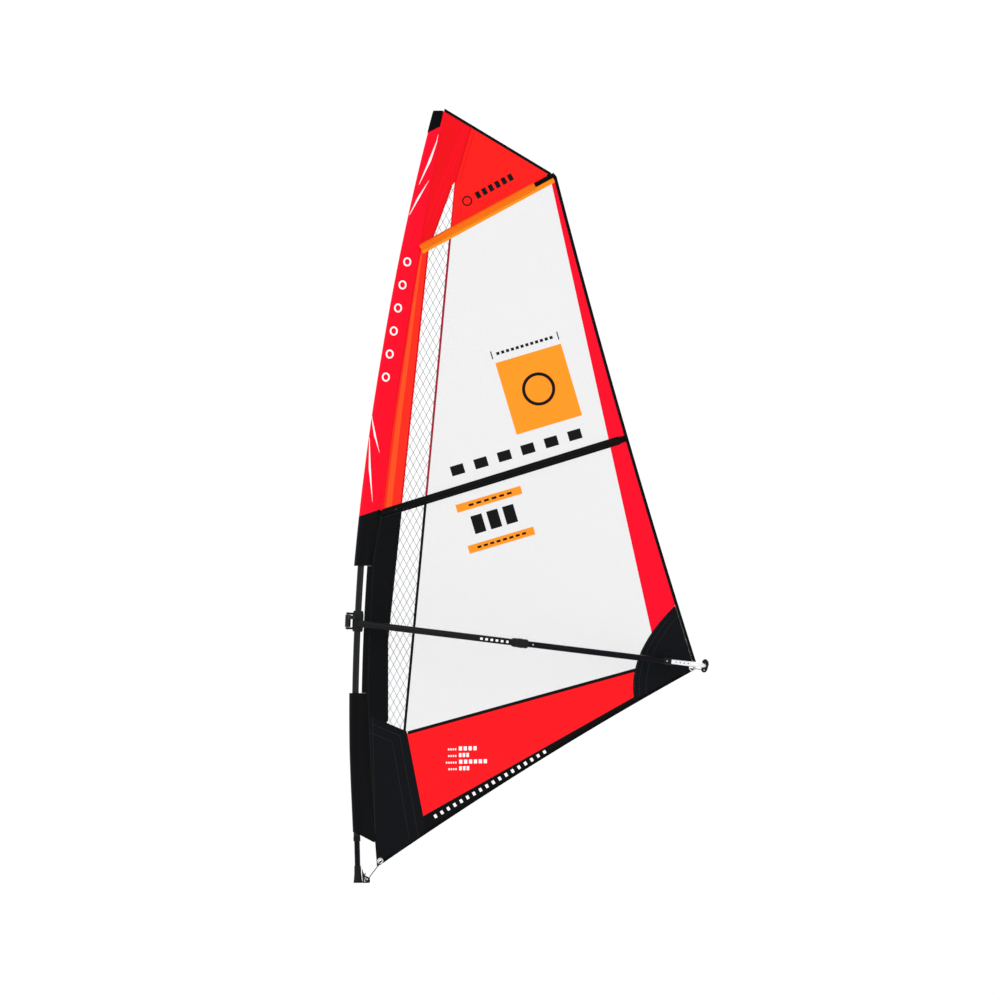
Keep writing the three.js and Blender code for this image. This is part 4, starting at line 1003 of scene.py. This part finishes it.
# Rows of small bars, each followed by larger ones: (small ones, larger ones, where the row ends).
FOOT_ROWS = ((4, 4, 0.19), (4, 3, 0.145), (5, 6, 0.245), (4, 3, 0.145))
foot_rows = []
for row, (small, large, reach) in enumerate(FOOT_ROWS):
    low = 0.108 - 0.036 * row
    foot_rows += row_of(small, 0.075 - small * 0.0125, 0.075, low + 0.002, low + 0.012, 0.6)
    foot_rows += row_of(large, 0.084, reach, low, low + 0.022, 0.66)
bars("printed_foot_rows", "graphic_white", foot_rows, np.array([0.468, 0.612]), 0.02)
bars("printed_foot_band_row", "graphic_white", row_of(18, 0, 0.73, -0.010, 0.010, 0.38),
     np.array([0.416, 0.360]), math.atan2(0.3706, 0.6322))

RINGS_LOW, RINGS_HIGH = 2.757, 3.385
sleeve_marks = Batch()
for height in np.linspace(RINGS_LOW, RINGS_HIGH, 6):
    x = mast_x(height) + mix(0.023, 0.031, (height - RINGS_LOW) / 0.63)
    path = oval(x, height, 0.0175, 0.0205, 37)
    sleeve_marks.add(*ribbon(path, 0.0085, PRINT, PRINT_LIFT, sleeve_port, 0.006, 2))
# Tapering streaks: (x, z) points and the widths along them.
STREAKS = (
    ([(0.444, 4.080), (0.389, 3.930), (0.332, 3.805)], (0.001, 0.013, 0.002)),
    ([(0.387, 3.830), (0.330, 3.735), (0.280, 3.640)], (0.001, 0.010, 0.002)),
    ([(0.074, 2.545), (0.092, 2.440), (0.117, 2.345)], (0.002, 0.010, 0.001)),
    ([(0.062, 2.430), (0.064, 2.260), (0.079, 2.078)], (0.002, 0.011, 0.001)),
)
for path, widths in STREAKS:
    x, z = np.array(path).T
    heights = np.linspace(z[0], z[-1], 30)
    across = np.interp(heights, z[::-1], x[::-1])
    low, high = mast_x(heights) - sleeve_front(heights) * 0.9, seam_x(heights) - 0.006
    drawn = np.stack([np.clip(across, low, high), heights], -1)
    sleeve_marks.add(*ribbon(drawn, widths, PRINT, PRINT_LIFT, sleeve_port, 0.012, 3))
sleeve_marks.make("printed_sleeve_marks", "graphic_white", "rig")

# ---------------------------------------------------------------- mast, extension and foot


def mast_path(node):
    """Points on the mast's centre line over a node's height."""
    low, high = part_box(node)
    z = np.linspace(low.z, high.z, max(2, math.ceil((high.z - low.z) / 0.03)))
    return np.stack([mast_x(z), 0 * z, z], -1)


MAST_WALL = 0.0019
for node in ("mast_lower", "mast_upper"):
    path = mast_path(node)
    radius = mast_radius(path[:, 2])
    tube = sweep(path, radius, bore=radius.min() - MAST_WALL, segments=48)
    piece(node + "_laminate", *tube, "mast_laminate", "rig", node)

TUBE_RADIUS = 0.0152
TUBE_BORE = 0.0126
FORWARD = Matrix.Rotation(-math.pi / 2, 4, "Y")  # turns +Z to -X
piece("extension_tube_drawn", *sweep(mast_path("extension_tube"), TUBE_RADIUS, TUBE_BORE, 48),
      "anodised_black", "base", "extension_tube")
# The pin holes are not cut. Each is a thin black disc flush with the tube: painted shade standing for the dark
# inside of a hole.
hole_shade = Batch()
for z in np.arange(0.120, 0.230, 0.024):
    spot = Matrix.Translation((mast_x(z) - TUBE_RADIUS + 0.0005, 0, z)) @ FORWARD
    hole_shade.add(*placed(turned(round_over(0.0033, 0, 0.0006, 0.0003), 20), spot))
hole_shade.make("extension_pin_hole_shade", "black_plastic", "base")


def leaned(shape):
    """Moves a body built about the Z axis onto the mast's centre line."""
    verts, faces = shape
    verts = np.array([tuple(v) for v in verts])
    verts[:, 0] += mast_x(verts[:, 2]) * (verts[:, 2] > 0.001)
    return verts, faces


def grooved_collar():
    """A ring with finger grooves round its grip."""
    low, high = (end.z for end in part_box("extension_collar"))
    outline = [(0.0156, low), (0.0180, low), (0.0190, low + 0.0008), (0.0195, low + 0.002)]
    for z in np.arange(low + 0.005, high - 0.006, 0.0042):
        outline += [(0.0195, z), (0.0187, z + 0.0007), (0.0187, z + 0.0017), (0.0195, z + 0.0024)]
    outline += [(0.0195, high - 0.002), (0.0190, high - 0.0006), (0.0180, high), (0.0156, high)]
    return turned(outline + outline[:1], 64)


piece("extension_collar_grip", *leaned(grooved_collar()), "black_plastic", "rig", "extension_collar")

FOOT_OUTLINE = [
    (0, 0), (0.0222, 0), (0.0234, 0.0005), (0.0240, 0.0018), (0.0240, 0.0100), (0.0237, 0.0120),
    (0.0230, 0.0130), (0.0224, 0.0180), (0.0213, 0.0260), (0.0206, 0.0340), (0.0206, 0.0362),
    (0.0200, 0.0370), (0.0196, 0.0440), (0.0189, 0.0560), (0.0187, 0.0640), (0.0190, 0.0655),
    (0.0190, 0.0700), (0.0186, 0.0714), (0.0183, 0.0880), (0.0179, 0.0915), (0.0170, 0.0938),
    (0.0157, 0.0940), (0.0157, 0.0120), (0, 0.0120),
]
piece("foot_cup_moulding", *leaned(turned(FOOT_OUTLINE, 72)), "black_plastic", "base", "foot_cup")

for node in ("foot_button", "collar_button"):
    # A domed steel button that faces forward.
    low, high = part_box(node)
    r = (high.y - low.y) / 2
    length = high.x - low.x
    outline = [
        (0, 0), (r, 0), (r, length - 0.0014), (r * 0.93, length - 0.0006), (r * 0.75, length - 0.0001),
        (0, length),
    ]
    matrix = Matrix.Translation((high.x, 0, (low.z + high.z) / 2)) @ FORWARD
    piece(node + "_domed", *placed(turned(outline, 32), matrix), "stainless_steel", node, node)


def wheel(name, node):
    """A grooved pulley wheel about the Y axis."""
    low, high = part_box(node)
    r, half = (high.z - low.z) / 2, (high.y - low.y) / 2
    groove = r * 0.66
    profile = [(0.0034, -half), (r - 0.0006, -half), (r, -half + 0.0006), (r, -half + 0.0011)]
    for k in range(9):
        t = -1 + k / 4
        profile.append((mix(groove, r - 0.0006, t * t), t * (half - 0.0017)))
    profile += [(r, half - 0.0011), (r, half - 0.0006), (r - 0.0006, half), (0.0034, half), (0.0034, -half)]
    matrix = Matrix.Translation(middle_of(node)) @ ACROSS
    piece(name, *placed(turned(profile, 56), matrix), "white_nylon", node, node)


wheel("downhaul_wheel_port", "downhaul_sheave_port")
wheel("downhaul_wheel_starboard", "downhaul_sheave_starboard")
wheel("outhaul_wheel", "outhaul_sheave")

for node, body in (("sheave_axle", "base"), ("outhaul_axle", "boom_tail")):
    # An axle with a domed head at both ends.
    low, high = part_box(node)
    r, half = (high.z - low.z) / 2, (high.y - low.y) / 2
    head = [(r, half - 0.0010), (0.0046, half - 0.0010), (0.0046, half + 0.0002), (0.0030, half + 0.0010),
            (0, half + 0.0012)]
    profile = [(across, -up) for across, up in head[::-1]] + head
    matrix = Matrix.Translation(middle_of(node)) @ ACROSS
    piece(node + "_headed", *placed(turned(profile, 32), matrix), "stainless_steel", body, node)

# ---------------------------------------------------------------- head cap


def head_cap():
    """The webbing cap over the mast tip: a rounded, hollow loft with a soft roof."""
    count, steps = 56, 26
    angle = np.linspace(0, 2 * np.pi, count, endpoint=False)
    c, s = np.cos(angle), np.sin(angle)
    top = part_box("head_cap")[1].z
    rows = []
    for t in np.linspace(0, 1, steps):
        shrink = 1 - 0.10 * t ** 6
        front, aft = 0.0172 * shrink, 0.0430 * shrink
        dx = np.where(c < 0, front * c, aft * c)
        dy = np.where(c < 0, front * s, front * np.sign(s) * np.abs(s) ** 1.5)
        dy = dy * (1 + 0.05 * np.sin(14 * t + 3 * angle))
        guess = mast_x(4.105) + dx
        z = mix(cap_hem(guess), top - 0.002, t)
        rows.append(np.stack([mast_x(z) + dx, dy, z], -1))
    outer = np.array(rows)
    middle = outer[-1].mean(0)
    roof = middle + (outer[-1] - middle) * 0.8 + [0, 0, 0.0016]
    inner = outer.copy()
    centre = np.stack([mast_x(outer[..., 2]), 0 * outer[..., 2]], -1)
    inner[..., :2] = centre + (outer[..., :2] - centre) * 0.90
    inner[-1, :, 2] -= 0.004
    rings = [*outer, roof, *inner[::-1]]
    roof_start = steps * count
    faces = [
        [roof_start + i for i in range(count)],
        [roof_start + count + i for i in range(count)][::-1],
    ]
    for k in range(len(rings)):
        if k == steps:
            continue  # the roof and the lining under it stand apart
        after = (k + 1) % len(rings)
        for i in range(count):
            i2 = (i + 1) % count
            faces.append([k * count + i, k * count + i2, after * count + i2, after * count + i])
    return np.vstack(rings), faces


piece("head_cap_webbing", *head_cap(), "black_webbing", "rig", "head_cap")

# ---------------------------------------------------------------- boom

PIVOT = Vector(joints["boom_pitch"]["pos_m"])
SLIDE = joints["boom_length"]["axis"]
BOOM_TILT = math.atan2(-SLIDE[2], SLIDE[0])
BOOM = Matrix.Translation(PIVOT) @ Matrix.Rotation(BOOM_TILT, 4, "Y")
ARM_BOW = [
    (0.006, 0.044), (0.060, 0.072), (0.180, 0.124), (0.360, 0.176), (0.560, 0.203), (0.760, 0.199),
    (1.000, 0.152), (1.220, 0.098), (1.380, 0.085), (1.500, 0.085), (1.722, 0.085),
]
BOW_CURVE = spline([(x, y, 0) for x, y in ARM_BOW], 600)
ARM_SPLIT = 0.889
ARM_END = 1.722
GRIP_RADIUS = 0.018
ARM_RADIUS = 0.017
ARM_BORE = 0.0144
TAIL_HALF = 0.085
TAIL_BEND = 1.820
TAIL_RADIUS = 0.013
BUTTON_HOLE = 0.0045


def on_boom(shape):
    """Moves a shape from the boom's own axes to the scene's."""
    return placed(shape, BOOM)


def bow(x):
    """How far an arm's centre line stands from the middle plane."""
    return np.interp(x, BOW_CURVE[:, 0], BOW_CURVE[:, 1])


def arm_path(x0, x1, side, count):
    """Points on an arm's centre line, on the boom's own axes."""
    x = np.linspace(x0, x1, count)
    return np.stack([x, side * bow(x), 0 * x], -1)


def grip_radii(count):
    """Foam grip radius along the arm: shallow moulded rings in groups, tapering at both ends."""
    t = np.linspace(0, 1, count)
    rings = 0.00045 * (np.sin(t * 900) > 0.2) * (np.sin(t * 26) > -0.3)
    ends = smooth(t / 0.012) * smooth((1 - t) / 0.012)
    return GRIP_RADIUS - 0.0012 + 0.0012 * ends + rings * ends


def turned_on(x, side, outline):
    """A short turned body on an arm, its axis along the arm."""
    yaw = math.atan2(side * (bow(x + 0.01) - bow(x)), 0.01)
    spin = Matrix.Rotation(yaw, 4, "Z") @ Matrix.Rotation(math.pi / 2, 4, "Y")
    return on_boom(placed(turned(outline, 40), Matrix.Translation((x, side * bow(x), 0)) @ spin))


COUPLER_OUTLINE = [
    (0.0182, -0.044), (0.0215, -0.044), (0.0228, -0.0425), (0.0236, -0.038), (0.0248, -0.030),
    (0.0252, -0.020), (0.0246, -0.018), (0.0246, -0.012), (0.0256, -0.010), (0.0260, 0.004),
    (0.0258, 0.016), (0.0248, 0.018), (0.0248, 0.024), (0.0255, 0.026), (0.0250, 0.036),
    (0.0236, 0.042), (0.0220, 0.044), (0.0182, 0.044), (0.0182, -0.044),
]
END_COLLAR = [
    (0.0172, -0.020), (0.0195, -0.020), (0.0205, -0.018), (0.0208, -0.006), (0.0202, 0.004),
    (0.0206, 0.010), (0.0200, 0.019), (0.0185, 0.021), (0.0172, 0.021), (0.0172, -0.020),
]


def button_on_arm(node, side):
    """A spring button standing out through the side of a tube."""
    low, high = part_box(node)
    r = 0.004
    length = high.y - low.y
    outline = [
        (0, 0), (r, 0), (r, length - 0.0016), (r * 0.88, length - 0.0005), (r * 0.5, length), (0, length)
    ]
    root = middle_of(node)
    root.y = low.y if side > 0 else high.y
    matrix = Matrix.Translation(root) @ outward(side)
    piece(node + "_domed", *placed(turned(outline, 28), matrix), "stainless_steel", node, node)


for name, side in (("port", -1), ("starboard", 1)):
    path = arm_path(0.006, ARM_SPLIT - 0.0006, side, 420)
    verts, faces = on_boom(sweep(path, grip_radii(420), ARM_BORE, 36))
    piece("grip_" + name, verts, faces, "grip_foam", "boom_arms", "front_arm_" + name,
          sharp=math.radians(60))
    knuckle = placed(turned(round_over(0.0140, 0.033, 0.050, 0.002)), outward(side))
    piece("arm_knuckle_" + name, *on_boom(knuckle), "black_plastic", "boom_arms")
    rear = arm_path(ARM_SPLIT + 0.0006, ARM_END, side, 160)
    rear_tube = piece("rear_tube_" + name, *on_boom(sweep(rear, ARM_RADIUS, ARM_BORE, 40)),
                      "anodised_black", "boom_arms", "rear_arm_" + name)
    buttons = ("coupler_button_" + name, "tail_button_" + name)
    for node in buttons:
        cut_hole(rear_tube, middle_of(node), BUTTON_HOLE, 0.010)
    piece("coupler_" + name, *turned_on(ARM_SPLIT, side, COUPLER_OUTLINE), "black_plastic",
          "boom_arms", "arm_coupler_" + name)
    piece("arm_end_collar_" + name, *turned_on(ARM_END - 0.022, side, END_COLLAR), "black_plastic",
          "boom_arms")
    for node in buttons:
        button_on_arm(node, side)

bars_on_boom = Batch()
for x0, x1, low, high in row_of(6, 0.672, 0.842, -0.0075, 0.0045, 0.5):
    y = -bow((x0 + x1) / 2) - GRIP_RADIUS - 0.0006
    x = np.array([[x0, x1], [x0, x1]])
    z = np.array([[low, low], [high, high]])
    bars_on_boom.add(*on_boom(slab(x, np.full((2, 2), y), z, 0.0008)))
bars_on_boom.make("printed_boom_row", "graphic_white", "boom_arms")


def tail_path():
    """Two straight legs joined by a half circle."""
    turn = np.linspace(-math.pi / 2, math.pi / 2, 40)
    bend = [(TAIL_BEND + TAIL_HALF * math.cos(a), TAIL_HALF * math.sin(a), 0) for a in turn]
    leg = np.linspace(1.400, TAIL_BEND, 30)[:-1]
    return np.array([(x, -TAIL_HALF, 0) for x in leg] + bend + [(x, TAIL_HALF, 0) for x in leg[::-1]])


piece("tail_tube_bent", *on_boom(sweep(tail_path(), TAIL_RADIUS, 0.0108, 36)), "silver_aluminium",
      "boom_tail", "tail_tube")
# The tail's pin holes are not cut. Each is a thin black disc on the tube: painted shade standing for the dark
# inside of a hole.
tail_hole_shade = Batch()
for side in (-1, 1):
    for x in np.arange(1.748, 1.816, 0.022):
        spot = Matrix.Translation((x, side * (TAIL_HALF + TAIL_RADIUS - 0.0001), 0)) @ outward(side)
        tail_hole_shade.add(*placed(turned(round_over(0.0034, 0, 0.0004, 0.0001), 20), BOOM @ spot))
tail_hole_shade.make("tail_pin_hole_shade", "black_plastic", "boom_tail")

# ---------------------------------------------------------------- lines

ROPE = 0.0024
ROPE_STATIONS = 160


def rope(name, points, material, body=None, node=None):
    """A laid rope: shallow ridges along a smooth path."""
    lay = 1 + 0.06 * np.sin(np.linspace(0, ROPE_STATIONS * 1.1, ROPE_STATIONS))
    shape = sweep(spline(points, ROPE_STATIONS), ROPE * lay, segments=14)
    return piece(name, *shape, material, body, node, sharp=math.radians(80))


SHEAVE = middle_of("downhaul_sheave_port")
SHEAVE_Y = abs(SHEAVE.y)
RING_Y = TACK_RING.y
RISE = SHEAVE.x + 0.0104
for name, side in (("port", -1), ("starboard", 1)):
    strand = rope("downhaul_strand_" + name, [
        (RISE - 0.004, side * SHEAVE_Y, SHEAVE.z - 0.008), (RISE, side * SHEAVE_Y, SHEAVE.z),
        (RISE + 0.006, side * SHEAVE_Y, SHEAVE.z + 0.016),
        (TACK_RING.x - 0.009, RING_Y + side * 0.0095, TACK_RING.z - 0.022),
        (TACK_RING.x - 0.001, RING_Y + side * 0.0080, TACK_RING.z - 0.003),
        (TACK_RING.x, RING_Y, TACK_RING.z - 0.0022),
    ], "dark_rope", node="downhaul_line" if side < 0 else None)
    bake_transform(strand)

cleat = middle_of("downhaul_cleat")
rope("downhaul_tail", [
    (SHEAVE.x - 0.006, -SHEAVE_Y - 0.010, SHEAVE.z - 0.014),
    (cleat.x + 0.006, cleat.y - 0.001, cleat.z - 0.013),
    (cleat.x, cleat.y - 0.002, cleat.z),
    (cleat.x - 0.004, cleat.y - 0.004, cleat.z + 0.018),
    (cleat.x + 0.004, cleat.y - 0.008, cleat.z + 0.034),
], "dark_rope", "base")

# The outhaul's points, on the boom's own axes: from the sheave through the clew ring to the port leg.
to_boom = BOOM.inverted()
ring = to_boom @ CLEW_RING
sheave = to_boom @ middle_of("outhaul_sheave")
fore = sheave.x - 0.0094
OUTHAUL_POINTS = [
    (fore + 0.003, 0, sheave.z + 0.008), (fore, 0, sheave.z - 0.001),
    (fore - 0.014, ring.y + 0.005, sheave.z + 0.001),
    (ring.x + 0.016, ring.y + 0.0085, ring.z), (ring.x + 0.003, ring.y + 0.007, ring.z),
    (ring.x + 0.002, ring.y, ring.z), (ring.x + 0.003, ring.y - 0.007, ring.z),
    (ring.x + 0.014, ring.y - 0.020, ring.z - 0.001),
    (ring.x + 0.014, -TAIL_HALF + 0.020, ring.z - 0.001),
    (ring.x + 0.012, -TAIL_HALF + 0.002, ring.z + 0.004),
]
outhaul = rope("outhaul_strand", [tuple(BOOM @ Vector(p)) for p in OUTHAUL_POINTS], "rope",
               node="outhaul_line")
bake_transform(outhaul)

# ---------------------------------------------------------------- carried-over fittings

# How far the edges of the fittings that keep their CAD shape are rounded. Their size stays the same.
EDGE_ROUND = {
    "boom_head": 0.0014,
    "clamp_lever": 0.0018,
    "tail_fitting": 0.0022,
    "pulley_block": 0.0018,
    "downhaul_cleat": 0.0008,
    "outhaul_cleat": 0.0008,
    "head_liner": 0.0004,
}
for node, width in EDGE_ROUND.items():
    modifier = nodes[node].modifiers.new("rounded", "BEVEL")
    modifier.width = width
    modifier.segments = 3
    modifier.limit_method = "ANGLE"
    modifier.angle_limit = math.radians(32)
    modifier.harden_normals = True

for name, node in nodes.items():
    node.data.materials.clear()
    node.data.materials.append(MATERIALS[RIG_SLOTS[name]])
    node.data.polygons.foreach_set("use_smooth", [True] * len(node.data.polygons))
    node.data.set_sharp_from_angle(angle=SHARP)

# ---------------------------------------------------------------- floor, light and camera

FLOOR_HALF = 40
FLOOR_Z = -0.002
VIEW_CENTRE = (0.774, 2.087)
VIEW_HEIGHT = 5.45
CAMERA_DISTANCE = 12
LIT_POINT = Vector((0.8, 0, 2.0))

scene = bpy.context.scene
floor_mesh = bpy.data.meshes.new("floor")
corners = [(x * FLOOR_HALF, y * FLOOR_HALF, FLOOR_Z) for x, y in ((-1, -1), (1, -1), (1, 1), (-1, 1))]
floor_mesh.from_pydata(corners, [], [(0, 1, 2, 3)])
floor = bpy.data.objects.new("floor", floor_mesh)
scene.collection.objects.link(floor)
floor_nodes = Nodes("floor")
floor_nodes.vary((240, 240, 240), 0.01, 0.5)
floor_nodes.set(Roughness=0.9)
floor_mesh.materials.append(floor_nodes.material)

world = bpy.data.worlds.new("studio")
world.use_nodes = True
world.node_tree.nodes["Background"].inputs["Color"].default_value = (1, 1, 1, 1)
world.node_tree.nodes["Background"].inputs["Strength"].default_value = 1.01
scene.world = world
scene.view_settings.view_transform = "Standard"


def area_light(name, place, size, power):
    """A round lamp that points at the middle of the rig."""
    light = bpy.data.lights.new(name, "AREA")
    light.shape = "DISK"
    light.size = size
    light.energy = power
    obj = bpy.data.objects.new(name, light)
    obj.location = place
    obj.rotation_euler = (LIT_POINT - Vector(place)).to_track_quat("-Z", "Y").to_euler()
    scene.collection.objects.link(obj)


area_light("key", (-3.5, -5.0, 6.0), 3.0, 110)
area_light("fill", (5.0, -5.0, 2.5), 4.0, 40)
area_light("back", (1.5, 5.5, 4.5), 3.5, 140)

camera_data = bpy.data.cameras.new("camera")
camera_data.type = "ORTHO"
camera_data.ortho_scale = VIEW_HEIGHT
camera = bpy.data.objects.new("camera", camera_data)
camera.location = (VIEW_CENTRE[0], -CAMERA_DISTANCE, VIEW_CENTRE[1])
camera.rotation_euler = (math.pi / 2, 0, 0)
scene.collection.objects.link(camera)
scene.camera = camera
